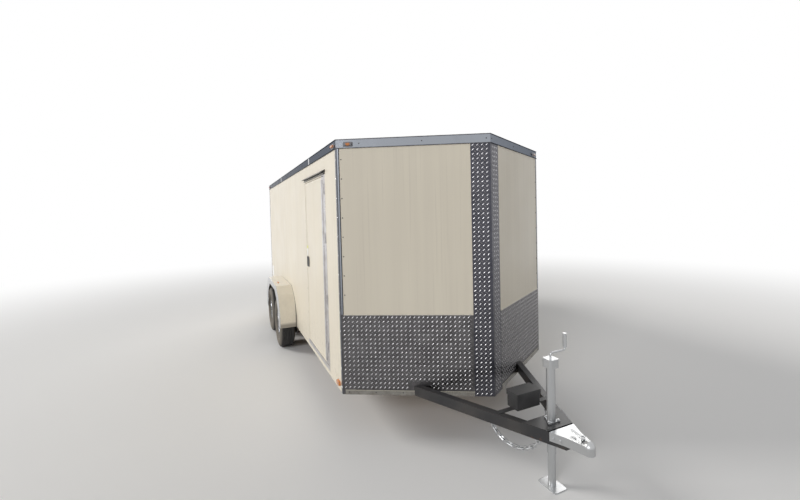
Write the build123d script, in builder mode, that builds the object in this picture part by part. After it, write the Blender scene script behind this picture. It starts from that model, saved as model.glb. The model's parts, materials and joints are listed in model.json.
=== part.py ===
from build123d import *

import os
from math import atan2, cos, degrees, hypot, radians, sin, sqrt, tan

os.makedirs("parts", exist_ok=True)

# Tandem-axle enclosed box trailer with a V nose, standing on its tongue jack.
# Millimetres. +Z is up, the front faces -Y, the kerb side faces -X, and the wheels stand on Z = 0.
# The origin lies on the ground below the middle of the overall box.

# Body shell
body_width = 2134.0
body_length = 4877.0
nose_depth = 610.0
body_bottom = 345.0
body_top = 2430.0
wall_thickness = 38.0
skirt_thickness = 3.0
roof_thickness = 28.0
roof_bow_depth = 25.0
roof_bow_width = 38.0
roof_bow_pitch = 610.0
floor_thickness = 19.0
sheet = 2.0

# Tongue, coupler and rear reach
tongue_reach = 900.0
tongue_angle = 25.0
ball_radius = 29.35
ball_clearance = 0.45
coupler_wall = 6.0
coupler_depth = 56.0
coupler_length = 200.0
latch_setback = 20.0
latch_length = 92.0
latch_width = 24.0
latch_gauge = 8.0
latch_lift = 18.0
latch_angle = 8.0
latch_pin_radius = 5.0
lug_gauge = 5.0
lug_length = 34.0
ball_drop = 10.0
apex_setback = 45.0
tongue_rail_start = 66.0

# Frame members
rail_height = 76.0
rail_width = 51.0
cross_height = 51.0
cross_flange = 38.0
cross_web = 5.0
cross_pitch = 406.0
cross_first = 190.0

# Rear frame and ramp door
post_size = 76.0
header_height = 115.0
sill_height = 30.0
stop_depth = 18.0
ramp_thickness = 50.0
ramp_gap = 8.0
ramp_axis_inset = 15.0
ramp_axis_lift = 14.0
ramp_floor_step = 3.0
ramp_knuckle_radius = 9.0
ramp_knuckle_length = 58.0
ramp_bracket_gauge = 10.0
ramp_hinge_count = 5
ramp_hinge_margin = 123.0
ramp_pin_radius = 5.0
running_gap = 0.3
knuckle_gap = 1.0

# Bar locks on the ramp door
bar_radius = 10.0
bar_inset = 150.0
bar_stand_off = 19.0
bar_rise = 834.0
bar_bracket_height = 60.0
bar_bracket_drop = 90.0
bar_bracket_width = 50.0
bar_handle_length = 190.0
bar_handle_height = 26.0
bar_handle_gauge = 8.0
bar_handle_lift = 130.0
bar_hasp_width = 36.0
keeper_lift = 4.0
keeper_height = 60.0
keeper_width = 60.0
keeper_plate = 4.0
keeper_slot = 28.0
keeper_cheek = 8.0
keeper_cheek_height = 30.0

# Side door, on the kerb side
door_frame_front = 400.0
door_frame_width = 945.0
door_sill_lift = 40.0
door_head_gap = 140.0
door_flange = 32.0
door_jamb = 3.0
door_leaf_thickness = 36.0
door_hinge_gap = 6.0
door_lock_gap = 8.0
door_trim_width = 28.0
door_trim_thickness = 1.5
door_edge_flat = 52.0
door_edge_strip = 40.0
door_edge_rise = 8.0
door_hinge_shares = (0.1175, 0.358, 0.6695, 0.9155)
door_hinge_height = 96.0
door_hinge_leaf = 24.0
door_knuckle_radius = 6.0
door_pin_radius = 2.5
door_hinge_gauge = 2.5
door_hinge_inset = 4.0
door_corner_radius = 6.0
door_lock_width = 95.0
door_lock_height = 110.0
door_lock_depth = 6.0
door_cup_depth = 3.6
door_paddle_height = 4.8
door_lock_share = 0.5082
door_lock_edge = 14.0
door_lock_corner = 12.0
door_lock_border = 17.0
door_paddle_border = 26.0
door_lock_shift = 6.0
drip_cap_reach = 30.0
drip_cap_height = 22.0
drip_cap_lip = 4.0
drip_cap_overhang = 14.0

# Trims on the shell
top_trim_height = 75.0
top_trim_flange = 25.0
drip_lip = 6.0
drip_lip_height = 4.0
bead_height = 6.0
bead_reach = 3.0
corner_leg = 45.0
nose_corner_leg = 25.0
corner_side_leg = 30.0
nose_strip = 155.0
guard_height = 659.0
guard_rail_height = 40.0
guard_rail_thickness = 3.0
guard_cap_height = 12.0

# Running gear
axle_group = 2985.0
axle_spacing = 864.0
tyre_radius = 344.0
tyre_width = 202.0
tyre_wall_gap = 4.0
bead_radius = 191.0
tyre_bead_half = 65.7
tyre_bead_top = 203.3
tyre_bulge_radius = 273.5
shoulder_radius = 328.0
tread_half = 82.0
tread_flat = 66.0
rim_width = 140.0
rim_flange_radius = 203.0
rim_well_radius = 172.0
rim_seat_radius = 190.7
rim_flange_width = 4.0
rim_seat_half = 36.0
rim_gauge = 4.0
rim_well_half = 22.0
disc_gauge = 5.0
disc_flat_radius = 76.0
disc_crown = 34.0
disc_crown_radius = 112.0
disc_rim = 14.0
window_radius = 136.0
window_outer = 46.0
window_height = 46.0
window_corner = 10.0
cap_edge = 6.0
centre_bore = 42.0
bolt_circle = 114.3
bolt_count = 5
nut_across = 21.0
nut_height = 20.0
window_count = 8
drum_radius = 138.0
drum_back = -66.0
hub_flange = 4.0
drum_lip = 8.0
backing_gap = 5.0
backing_thickness = 4.0
cap_radius = 33.0
cap_reach = 42.0
spindle_radius = 22.0
spindle_clearance = 0.8
spindle_end = 12.0
axle_drop = 102.0
axle_tube_radius = 30.2
drop_plate_thickness = 16.0
drop_plate_width = 64.0
spring_half_length = 320.0
spring_width = 44.5
spring_gauge = 7.0
spring_spans = (317.0, 235.0, 150.0)
spring_seat_height = 14.0
spring_seat = 6.0
spring_arch = 46.0
spring_eye_radius = 13.0
spring_bolt_radius = 8.0
tie_plate_length = 110.0
tie_plate_width = 84.0
tie_plate_thickness = 9.0
hanger_gauge = 5.0
hanger_gap = 0.5
hanger_top_width = 110.0
hanger_bottom_width = 48.0
hanger_nose = 20.0
link_gauge = 5.0
link_width = 28.0
spring_bolt_end = 8.0
equalizer_crown = 24.0
link_drop = 50.0
equalizer_half = 80.0
equalizer_height = 40.0
equalizer_lift = 12.0

# Fenders
fender_width = 213.0
fender_sheet = 3.0
fender_half_length = 820.0
fender_top = 852.0
fender_bottom = 350.0
fender_corner_back = 345.0
fender_knee_back = 178.0
fender_knee_height = 760.0
fender_bend_back = 60.0
fender_bend_height = 640.0
fender_leg_height = 480.0
fender_skirt_depth = 80.0
fender_skirt_leg = 165.0
fender_flange = 20.0
fender_lip = 14.0

# Tongue jack
jack_setback = 285.0
jack_tube_radius = 28.5
jack_tube_wall = 3.0
jack_leg_gap = 0.5
jack_tube_low = 220.0
jack_tube_high = 790.0
jack_leg_top = 520.0
jack_foot_length = 150.0
jack_foot_width = 110.0
jack_foot_thickness = 6.0
jack_head_size = 76.0
jack_head_height = 58.0
jack_crank_reach = 130.0
jack_crank_rise = 34.0
jack_grip_length = 92.0
jack_grip_radius = 13.0
jack_grip_lift = 19.5
jack_rod_radius = 6.5
jack_plate_thickness = 8.0
jack_plate_length = 150.0
jack_flange_radius = 58.0
jack_bend_radius = 14.0

# Safety chains and breakaway battery box
chain_wire = 9.5
chain_inner_length = 34.0
chain_inner_width = 13.0
chain_play = 0.6
chain_links = 11
chain_end_angle = 52.0
chain_setback = 430.0
chain_tab_gauge = 8.0
chain_tab_radius = 15.0
chain_tab_hole = 6.5
chain_tab_drop = 24.0
battery_box = (210.0, 110.0, 120.0)
battery_lid_height = 34.0
battery_lid_lip = 5.0
battery_corner = 10.0
battery_strap_width = 40.0
battery_strap_gauge = 4.0
battery_box_setback = 540.0

# Lamps: length, height and depth of each kind
marker_lamp = (66.0, 24.0, 16.0)
side_lamp = (80.0, 42.0, 18.0)
tail_lamp = (165.0, 56.0, 24.0)
lamp_taper_angle = 12.0
nose_lamp_along = 100.0
side_lamp_back = 90.0
low_lamp_back = 98.0
low_lamp_lift = 60.0
fender_lamp_inset = 62.0
fender_lamp_lead = 170.0
lamp_corner_share = 0.35
rear_lamp_inset = 90.0
rear_low_lamp_z = 616.0
rear_row_pitch = 200.0
tail_lamp_z = 820.0
trim_lamp_lift = 32.0

# Roof vent
vent_opening = 356.0
vent_frame_width = 26.0
vent_frame_height = 38.0
vent_setback = 1849.0
vent_gap = 6.0
vent_lid_wall = 4.0
vent_lid_lift = 15.0
vent_crown = 12.0
vent_crown_angle = 60.0
vent_hinge_radius = 5.0
vent_hinge_reach = 10.0
vent_hinge_x = 120.0
vent_knuckle_length = 24.0
vent_bracket_gauge = 4.0
vent_pin_radius = 2.5

# Licence plate bracket
plate_width = 305.0
plate_height = 152.0
plate_hole_spacing = 177.8
plate_hole_radius = 3.5
plate_gauge = 3.0
plate_stand_off = 10.0
plate_inset = 293.0
plate_place_z = 640.0
plate_corner = 12.0
plate_foot_width = 18.0
plate_foot_height = 92.0
plate_foot_pitch = 244.0
plate_hole_drop = 16.0

# Places that follow from the sizes above
socket_radius = ball_radius + ball_clearance
dome_radius = socket_radius + coupler_wall
rear_reach = bar_stand_off + bar_radius
overall_length = tongue_reach + nose_depth + body_length + rear_reach
half_width = body_width / 2
half_rail = rail_width / 2
tip_y = -overall_length / 2
ridge_y = tip_y + tongue_reach
front_y = ridge_y + nose_depth
rear_y = front_y + body_length
wall_rear = rear_y - post_size
nose_length = hypot(half_width, nose_depth)
rail_top = body_bottom + rail_height
floor_top = rail_top + floor_thickness
roof_base = body_top - sheet - roof_thickness
roof_top = body_top - sheet
trim_bottom = body_top - top_trim_height

ball_y = tip_y + dome_radius
ball_z = rail_top - ball_drop
apex_y = ball_y + apex_setback
jack_y = ball_y + jack_setback

axle_ys = (front_y + axle_group - axle_spacing / 2, front_y + axle_group + axle_spacing / 2)
group_y = front_y + axle_group
wheel_x = half_width + tyre_wall_gap + tyre_width / 2
spring_x = half_width - skirt_thickness - spring_width / 2 - 2 * link_gauge - hanger_gauge
tube_z = tyre_radius - axle_drop
leaf_top_z = tube_z - axle_tube_radius - spring_seat
eye_z = leaf_top_z + spring_arch
spring_bend = (spring_half_length**2 + spring_arch**2) / (2 * spring_arch)
vent_y = front_y + vent_setback
vent_half = vent_opening / 2
vent_ring = vent_half + vent_frame_width

ramp_low = floor_top - (ramp_thickness - ramp_axis_inset) - ramp_floor_step + ramp_axis_lift
ramp_axis_y = rear_y - ramp_axis_inset
ramp_axis_z = ramp_low - ramp_axis_lift
header_bottom = roof_base - header_height
ramp_high = header_bottom - ramp_gap
ramp_half_width = half_width - post_size - ramp_gap
plate_place_x = ramp_half_width - plate_inset
ramp_hinge_pitch = 2 * (ramp_half_width - ramp_hinge_margin) / (ramp_hinge_count - 1)
bar_low = ramp_low + bar_rise

door_frame_bottom = body_bottom + door_sill_lift
door_frame_top = trim_bottom - door_head_gap
door_frame_height = door_frame_top - door_frame_bottom
door_hinge_zs = [door_frame_bottom + share * door_frame_height for share in door_hinge_shares]
door_lock_z = door_frame_bottom + door_lock_share * door_frame_height
door_y0 = front_y + door_frame_front
door_y1 = door_y0 + door_frame_width
clear_y0 = door_y0 + door_flange
clear_y1 = door_y1 - door_flange
clear_z0 = rail_top + door_jamb
clear_z1 = door_frame_top - door_flange
leaf_y0 = clear_y0 + door_hinge_gap
leaf_y1 = clear_y1 - door_lock_gap
leaf_z0 = clear_z0 + door_hinge_gap
leaf_z1 = clear_z1 - door_hinge_gap
door_axis_x = -half_width - sheet - running_gap - door_knuckle_radius
door_axis_y = (clear_y0 + leaf_y0) / 2


def save(piece, name):
    """Label a finished piece and write its STEP file."""
    piece.part.label = name
    export_step(piece.part, f"parts/{name}.step")


def corner_y(inset):
    """Y of the front corner of the plan moved in by inset."""
    return front_y + inset * (nose_length - nose_depth) / half_width


def ridge_at(inset):
    """Y of the nose ridge of the plan moved in by inset."""
    return ridge_y + inset * nose_length / half_width


def outline(inset, rear):
    """The body's plan moved in by inset, closed at the Y given: left rear round to right rear."""
    x = half_width - inset
    return [
        (x, rear),
        (x, corner_y(inset)),
        (0, ridge_at(inset)),
        (-x, corner_y(inset)),
        (-x, rear),
    ]


def band(outer, inner, rear_out, rear_in, low, high):
    """A ring that follows the plan between two insets, from low to high."""
    with BuildSketch(Plane.XY.offset(low)) as plan:
        with BuildLine():
            Polyline(*outline(outer, rear_out), close=True)
        make_face()
        with BuildLine():
            Polyline(*outline(inner, rear_in), close=True)
        make_face(mode=Mode.SUBTRACT)
    extrude(plan.sketch, amount=high - low)


def prism(points, low, high, mode=Mode.ADD):
    """A flat outline in plan, raised from low to high."""
    with BuildSketch(Plane.XY.offset(low)) as plan:
        with BuildLine():
            Polyline(*points, close=True)
        make_face()
    extrude(plan.sketch, amount=high - low, mode=mode)


def block(x0, x1, y0, y1, z0, z1, mode=Mode.ADD):
    """A rectangular length of plate or bar between its two corners."""
    with BuildSketch(Plane.XY.offset(z0)) as plan:
        with Locations(((x0 + x1) / 2, (y0 + y1) / 2)):
            Rectangle(abs(x1 - x0), abs(y1 - y0))
    extrude(plan.sketch, amount=z1 - z0, mode=mode)


def side_plane(side, y, z, reach=0.0):
    """A plane on the outer face of a side wall: its normal points out and its local Y up."""
    return Plane(origin=(side * (half_width + reach), y, z), x_dir=(0, side, 0), z_dir=(side, 0, 0))


def nose_point(side, along, reach=0.0):
    """A point in plan on a nose wall: along it from the corner, and out from its face."""
    x = side * (half_width - along * half_width / nose_length + reach * nose_depth / nose_length)
    y = front_y - along * nose_depth / nose_length - reach * half_width / nose_length
    return (x, y)


def nose_plane(side, along, z, reach=0.0):
    """A plane on the outer face of a nose wall, its normal pointing out."""
    x, y = nose_point(side, along, reach)
    normal = (side * nose_depth / nose_length, -half_width / nose_length, 0)
    return Plane(origin=(x, y, z), x_dir=(-normal[1], normal[0], 0), z_dir=normal)


def rear_plane(x, z, reach=0.0):
    """A plane on the rear face, its normal pointing to the rear."""
    return Plane(origin=(x, rear_y + reach, z), x_dir=(-1, 0, 0), z_dir=(0, 1, 0))


def tongue_edge(y, offset):
    """X of a line along a tongue rail, offset sideways from the rail's centre line."""
    return (y - apex_y) * tan(radians(tongue_angle)) + offset / cos(radians(tongue_angle))


def tongue_plan(side, start, end):
    """One tongue rail in plan, cut square to the trailer at both ends."""
    return [
        (side * tongue_edge(start, -half_rail), start),
        (side * tongue_edge(end, -half_rail), end),
        (side * tongue_edge(end, half_rail), end),
        (side * tongue_edge(start, half_rail), start),
    ]


# Chassis frame: perimeter rails, channel cross members and the tongue rails' inner lengths.
with BuildPart() as chassis_frame:
    inner_reach = apex_y + (half_width - skirt_thickness) / tan(radians(tongue_angle))
    for side in (-1, 1):
        prism(tongue_plan(side, apex_y + tongue_rail_start, inner_reach), body_bottom, rail_top)
    prism(outline(skirt_thickness, wall_rear), body_bottom, rail_top, mode=Mode.INTERSECT)
    band(skirt_thickness, skirt_thickness + rail_width, wall_rear, wall_rear - rail_width,
         body_bottom, rail_top)
    cross_count = int((wall_rear - front_y - cross_first - rail_width) / cross_pitch) + 1
    channel_low = rail_top - cross_height
    for index in range(cross_count):
        web_y = front_y + cross_first + index * cross_pitch
        with BuildSketch(Plane.YZ) as channel:
            with BuildLine():
                Polyline(
                    (web_y, channel_low),
                    (web_y + cross_flange, channel_low),
                    (web_y + cross_flange, channel_low + cross_web),
                    (web_y + cross_web, channel_low + cross_web),
                    (web_y + cross_web, rail_top - cross_web),
                    (web_y + cross_flange, rail_top - cross_web),
                    (web_y + cross_flange, rail_top),
                    (web_y, rail_top),
                    close=True,
                )
            make_face()
        extrude(amount=half_width - skirt_thickness - rail_width, both=True)
save(chassis_frame, "chassis_frame")

# Tongue: the two rails ahead of the body, a cross tie and the jack's plate on top.
with BuildPart() as tongue:
    rail_end = front_y
    for side in (-1, 1):
        prism(tongue_plan(side, apex_y + tongue_rail_start, rail_end), body_bottom, rail_top)
    prism(outline(skirt_thickness, rear_y), body_bottom, rail_top, mode=Mode.SUBTRACT)
    plate_start = jack_y - jack_plate_length / 2
    plate_end = jack_y + jack_plate_length / 2
    prism(
        [
            (-tongue_edge(plate_start, half_rail), plate_start),
            (tongue_edge(plate_start, half_rail), plate_start),
            (tongue_edge(plate_end, half_rail), plate_end),
            (-tongue_edge(plate_end, half_rail), plate_end),
        ],
        rail_top, rail_top + jack_plate_thickness,
    )
    with BuildSketch(Plane.XY.offset(rail_top)):
        with Locations((0, jack_y)):
            Circle(jack_tube_radius)
    extrude(amount=jack_plate_thickness, mode=Mode.SUBTRACT)
save(tongue, "tongue")

# Coupler: a stamped channel over the rail ends with the ball socket at its nose and a latch lever on top.
with BuildPart() as coupler:
    coupler_end = ball_y + coupler_length
    rails_start = apex_y + tongue_rail_start
    coupler_high = rail_top + coupler_wall
    coupler_low = coupler_high - coupler_depth
    nose_back = ball_y + dome_radius
    for wall, nose, low, high, mode in (
        (coupler_wall, ball_y, coupler_low, coupler_high, Mode.ADD),
        (0.0, nose_back, coupler_low, rail_top, Mode.SUBTRACT),
    ):
        prism(
            [
                (socket_radius + wall, nose),
                (tongue_edge(rails_start, half_rail) + wall, rails_start),
                (tongue_edge(coupler_end, half_rail) + wall, coupler_end),
                (-tongue_edge(coupler_end, half_rail) - wall, coupler_end),
                (-tongue_edge(rails_start, half_rail) - wall, rails_start),
                (-socket_radius - wall, nose),
            ],
            low, high, mode=mode,
        )
    with BuildSketch(Plane.XY.offset(coupler_low)):
        with Locations((0, ball_y)):
            Circle(dome_radius)
    extrude(amount=ball_z - coupler_low)
    with Locations((0, ball_y, ball_z)):
        Sphere(dome_radius)
        Sphere(socket_radius, mode=Mode.SUBTRACT)
    with BuildSketch(Plane.XY.offset(coupler_low - dome_radius)):
        with Locations((0, ball_y)):
            Circle(socket_radius)
    extrude(amount=ball_z - coupler_low + dome_radius, mode=Mode.SUBTRACT)
    latch_y = nose_back + latch_setback
    latch_pivot = coupler_high + latch_lift
    for cheek in (-1, 1):
        block(cheek * latch_width / 2, cheek * (latch_width / 2 + lug_gauge), latch_y - lug_length / 2,
              latch_y + lug_length / 2, coupler_high, latch_pivot + latch_gauge)
    with BuildSketch(Plane.YZ):
        with Locations((latch_y + latch_length / 2 - latch_setback, latch_pivot)):
            SlotCenterToCenter(latch_length, latch_gauge, rotation=latch_angle)
    extrude(amount=latch_width / 2, both=True)
    with BuildSketch(Plane.YZ):
        with Locations((latch_y, latch_pivot)):
            Circle(latch_pin_radius)
    extrude(amount=latch_width / 2 + lug_gauge * 2, both=True)
save(coupler, "coupler")

# Jack: fixed outer tube with its gear head.
with BuildPart() as jack_tube:
    with BuildSketch(Plane.XY.offset(jack_tube_low)):
        with Locations((0, jack_y)):
            Circle(jack_tube_radius)
            Circle(jack_tube_radius - jack_tube_wall, mode=Mode.SUBTRACT)
    extrude(amount=jack_tube_high - jack_tube_low)
    with BuildSketch(Plane.XY.offset(jack_tube_high)):
        with Locations((0, jack_y)):
            RectangleRounded(jack_head_size, jack_head_size, jack_bend_radius)
    extrude(amount=jack_head_height)
    with BuildSketch(Plane.XY.offset(rail_top + jack_plate_thickness)):
        with Locations((0, jack_y)):
            RegularPolygon(jack_flange_radius, 3, rotation=90)
            Circle(jack_tube_radius - jack_tube_wall, mode=Mode.SUBTRACT)
    extrude(amount=jack_plate_thickness)
save(jack_tube, "jack_tube")

# Jack crank: a bent rod on top of the head with a round grip.
with BuildPart() as jack_crank:
    crank_z = jack_tube_high + jack_head_height
    with BuildLine() as crank_line:
        FilletPolyline(
            (0, jack_y, crank_z),
            (0, jack_y, crank_z + jack_crank_rise),
            (jack_crank_reach, jack_y, crank_z + jack_crank_rise),
            (jack_crank_reach, jack_y, crank_z + jack_crank_rise + jack_grip_length),
            radius=jack_bend_radius,
        )
    with BuildSketch(Plane.XY.offset(crank_z)):
        with Locations((0, jack_y)):
            Circle(jack_rod_radius)
    sweep(path=crank_line.wires()[0])
    with BuildSketch(Plane.XY.offset(crank_z + jack_crank_rise + jack_grip_lift)):
        with Locations((jack_crank_reach, jack_y)):
            Circle(jack_grip_radius)
    extrude(amount=jack_grip_length)
save(jack_crank, "jack_crank")

# Jack leg: the sliding inner tube with its foot plate.
with BuildPart() as jack_leg:
    leg_radius = jack_tube_radius - jack_tube_wall - jack_leg_gap
    with BuildSketch(Plane.XY):
        with Locations((0, jack_y)):
            RectangleRounded(jack_foot_width, jack_foot_length, jack_bend_radius)
    extrude(amount=jack_foot_thickness)
    with BuildSketch(Plane.XY.offset(jack_foot_thickness)):
        with Locations((0, jack_y)):
            Circle(leg_radius)
    extrude(amount=jack_leg_top - jack_foot_thickness)
save(jack_leg, "jack_leg")

# Breakaway battery box on a strap across the tongue rails.
with BuildPart() as battery_case:
    box_length, box_width, box_height = battery_box
    box_y = ball_y + battery_box_setback
    for lip, low, high in (
        (0.0, rail_top + battery_strap_gauge, rail_top + box_height),
        (battery_lid_lip, rail_top + box_height - battery_lid_height, rail_top + box_height),
    ):
        with BuildSketch(Plane.XY.offset(low)):
            with Locations((0, box_y)):
                RectangleRounded(box_length + 2 * lip, box_width + 2 * lip, battery_corner)
        extrude(amount=high - low)
    strap_half = tongue_edge(box_y, 0)
    block(-strap_half, strap_half, box_y - battery_strap_width / 2, box_y + battery_strap_width / 2,
          rail_top, rail_top + battery_strap_gauge)
save(battery_case, "battery_case")

# Floor deck inside the walls, out to the ramp's edge between the posts.
with BuildPart() as floor_deck:
    prism(outline(wall_thickness, wall_rear), rail_top, floor_top)
    deck_half = half_width - post_size - stop_depth
    block(-deck_half, deck_half, wall_rear, rear_y - ramp_thickness - ramp_gap, rail_top, floor_top)
save(floor_deck, "floor_deck")

# Side walls: a full-depth panel on the rail, with a thin skirt over the rail's face.
for side, wall_name in ((1, "wall_left"), (-1, "wall_right")):
    with BuildPart() as side_wall:
        for depth, low, high in (
            (wall_thickness, rail_top, roof_base),
            (skirt_thickness, body_bottom, rail_top),
        ):
            prism(
                [
                    (side * half_width, wall_rear),
                    (side * half_width, front_y),
                    (side * (half_width - depth), corner_y(depth)),
                    (side * (half_width - depth), wall_rear),
                ],
                low, high,
            )
        if side < 0:
            block(-half_width, -half_width + wall_thickness, clear_y0 - door_jamb, clear_y1 + door_jamb,
                  rail_top, clear_z1 + door_jamb, mode=Mode.SUBTRACT)
    save(side_wall, wall_name)

# Nose walls: the same panel and skirt, from each front corner to the ridge, notched for the tongue.
for side, wall_name in ((1, "nose_wall_left"), (-1, "nose_wall_right")):
    with BuildPart() as nose_wall:
        for depth, low, high in (
            (wall_thickness, rail_top, roof_base),
            (skirt_thickness, body_bottom, rail_top),
        ):
            prism(
                [
                    (side * half_width, front_y),
                    (0, ridge_y),
                    (0, ridge_at(depth)),
                    (side * (half_width - depth), corner_y(depth)),
                ],
                low, high,
            )
        rail_plan = tongue_plan(side, apex_y + tongue_rail_start, front_y)
        prism(rail_plan, body_bottom, rail_top, mode=Mode.SUBTRACT)
    save(nose_wall, wall_name)

# Roof: a panel over the walls with bows below it and the vent's opening.
with BuildPart() as roof:
    prism(outline(0, rear_y), roof_base, roof_top)
    bow_count = int((wall_rear - front_y) / roof_bow_pitch)
    bow_half = half_width - wall_thickness
    for index in range(bow_count):
        bow_y = front_y + roof_bow_pitch * (index + 0.5)
        block(-bow_half, bow_half, bow_y, bow_y + roof_bow_width, roof_base - roof_bow_depth, roof_base)
    block(-vent_half, vent_half, vent_y - vent_half, vent_y + vent_half,
          roof_base - roof_bow_depth, roof_top, mode=Mode.SUBTRACT)
save(roof, "roof")

# Rear frame: corner posts, header, low sill and the stops behind the ramp door.
with BuildPart() as rear_frame:
    inner_half = half_width - post_size
    for side in (-1, 1):
        block(side * inner_half, side * half_width, wall_rear, rear_y, body_bottom, roof_base)
        block(side * (inner_half - stop_depth), side * inner_half, wall_rear, wall_rear + stop_depth,
              rail_top, roof_base)
    block(-inner_half, inner_half, wall_rear, rear_y, header_bottom, roof_base)
    block(-inner_half, inner_half, wall_rear, wall_rear + stop_depth,
          header_bottom - stop_depth, header_bottom)
    block(-inner_half, inner_half, wall_rear, rear_y, body_bottom, body_bottom + sill_height)
save(rear_frame, "rear_frame")

# Ramp fixtures on the frame: hinge knuckles with their pins on the sill, and lock keepers on the header.
hinge_xs = [(index - (ramp_hinge_count - 1) / 2) * ramp_hinge_pitch for index in range(ramp_hinge_count)]
sill_top = body_bottom + sill_height
bar_xs = (-ramp_half_width + bar_inset, ramp_half_width - bar_inset)
with BuildPart() as ramp_fixtures:
    for hinge_x in hinge_xs:
        start = hinge_x - ramp_knuckle_length - knuckle_gap / 2
        with BuildSketch(Plane.YZ.offset(start)):
            with Locations((ramp_axis_y, ramp_axis_z)):
                Circle(ramp_knuckle_radius)
            with Locations((ramp_axis_y, (ramp_axis_z + sill_top) / 2)):
                Rectangle(ramp_bracket_gauge, ramp_axis_z - sill_top)
        extrude(amount=ramp_knuckle_length)
        with BuildSketch(Plane.YZ.offset(hinge_x - knuckle_gap / 2)):
            with Locations((ramp_axis_y, ramp_axis_z)):
                Circle(ramp_pin_radius)
        extrude(amount=ramp_knuckle_length + knuckle_gap)
    keeper_low = header_bottom + keeper_lift
    keeper_mid = keeper_low + keeper_height / 2
    for bar_x in bar_xs:
        block(bar_x - keeper_width / 2, bar_x + keeper_width / 2, rear_y, rear_y + keeper_plate,
              keeper_low, keeper_low + keeper_height)
        for cheek in (-1, 1):
            block(bar_x + cheek * keeper_slot / 2, bar_x + cheek * (keeper_slot / 2 + keeper_cheek), rear_y,
                  rear_y + rear_reach, keeper_mid - keeper_cheek_height / 2, keeper_mid + keeper_cheek_height / 2)
save(ramp_fixtures, "ramp_fixtures")

# Ramp hardware on the leaf: hinge knuckles below it, and two bar locks with brackets, handles and hasps.
bar_y = rear_y + bar_stand_off
with BuildPart() as ramp_hardware:
    for hinge_x in hinge_xs:
        with BuildSketch(Plane.YZ.offset(hinge_x + knuckle_gap / 2)):
            with Locations((ramp_axis_y, ramp_axis_z)):
                Circle(ramp_knuckle_radius)
            with Locations((ramp_axis_y, (ramp_axis_z + ramp_low) / 2)):
                Rectangle(2 * ramp_knuckle_radius, ramp_low - ramp_axis_z)
            with Locations((ramp_axis_y, ramp_axis_z)):
                Circle(ramp_pin_radius + running_gap, mode=Mode.SUBTRACT)
        extrude(amount=ramp_knuckle_length)
    for side, bar_x in zip((-1, 1), bar_xs):
        with BuildSketch(Plane.XY.offset(bar_low)):
            with Locations((bar_x, bar_y)):
                Circle(bar_radius)
        extrude(amount=ramp_high - bar_low)
        for bracket_z in (bar_low + bar_bracket_height, ramp_high - bar_bracket_drop):
            block(bar_x - bar_bracket_width / 2, bar_x + bar_bracket_width / 2, rear_y, bar_y,
                  bracket_z - bar_bracket_height / 2, bracket_z + bar_bracket_height / 2)
        handle_z = bar_low + bar_handle_lift
        block(bar_x - side * bar_handle_length, bar_x, bar_y - bar_handle_gauge / 2, bar_y + bar_handle_gauge / 2,
              handle_z, handle_z + bar_handle_height)
        hasp_x = bar_x - side * (bar_handle_length - bar_hasp_width / 2)
        block(hasp_x - bar_hasp_width / 2, hasp_x + bar_hasp_width / 2, rear_y, bar_y - bar_handle_gauge / 2,
              handle_z, handle_z + bar_handle_height)
save(ramp_hardware, "ramp_hardware")

# Ramp door leaf.
with BuildPart() as ramp_door:
    block(-ramp_half_width, ramp_half_width, rear_y - ramp_thickness, rear_y, ramp_low, ramp_high)
save(ramp_door, "ramp_door")

# Licence plate bracket on the ramp, left of centre.
with BuildPart() as plate_bracket:
    with BuildSketch(rear_plane(plate_place_x, plate_place_z, plate_stand_off)):
        RectangleRounded(plate_width, plate_height, plate_corner)
        with GridLocations(plate_hole_spacing, 0, 2, 1):
            with Locations((0, plate_height / 2 - plate_hole_drop)):
                Circle(plate_hole_radius, mode=Mode.SUBTRACT)
    extrude(amount=plate_gauge)
    with BuildSketch(rear_plane(plate_place_x, plate_place_z)):
        with GridLocations(plate_foot_pitch, 0, 2, 1):
            Rectangle(plate_foot_width, plate_foot_height)
    extrude(amount=plate_stand_off)
save(plate_bracket, "plate_bracket")

# Side door frame: a flange on the skin, a jamb through the wall, and the hinges' outer knuckles with pins.
knuckle = (door_hinge_height - 2 * knuckle_gap) / 3
with BuildPart() as side_door_frame:
    for reach, depth, y0, y1, z0, z1 in (
        (0.0, sheet, door_y0, door_y1, door_frame_bottom, door_frame_top),
        (-wall_thickness, wall_thickness, clear_y0 - door_jamb, clear_y1 + door_jamb,
         rail_top, clear_z1 + door_jamb),
    ):
        with BuildSketch(Plane.YZ.offset(-half_width - reach)):
            with Locations(((y0 + y1) / 2, (z0 + z1) / 2)):
                Rectangle(y1 - y0, z1 - z0)
            with Locations(((clear_y0 + clear_y1) / 2, (clear_z0 + clear_z1) / 2)):
                Rectangle(clear_y1 - clear_y0, clear_z1 - clear_z0, mode=Mode.SUBTRACT)
        extrude(amount=-depth)
    flange_x = -half_width - sheet
    for hinge_z in door_hinge_zs:
        low = hinge_z - door_hinge_height / 2
        for start in (low, low + door_hinge_height - knuckle):
            with BuildSketch(Plane.XY.offset(start)):
                with Locations((door_axis_x, door_axis_y)):
                    Circle(door_knuckle_radius)
                with Locations((flange_x - door_hinge_gauge / 2,
                                (clear_y0 - door_hinge_inset + door_axis_y) / 2)):
                    Rectangle(door_hinge_gauge, door_axis_y - clear_y0 + door_hinge_inset)
            extrude(amount=knuckle)
        with BuildSketch(Plane.XY.offset(low)):
            with Locations((door_axis_x, door_axis_y)):
                Circle(door_pin_radius)
        extrude(amount=door_hinge_height)
        block(flange_x - door_hinge_gauge, flange_x, clear_y0 - door_hinge_leaf, clear_y0 - door_hinge_inset,
              low, low + door_hinge_height)
save(side_door_frame, "side_door_frame")

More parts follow.
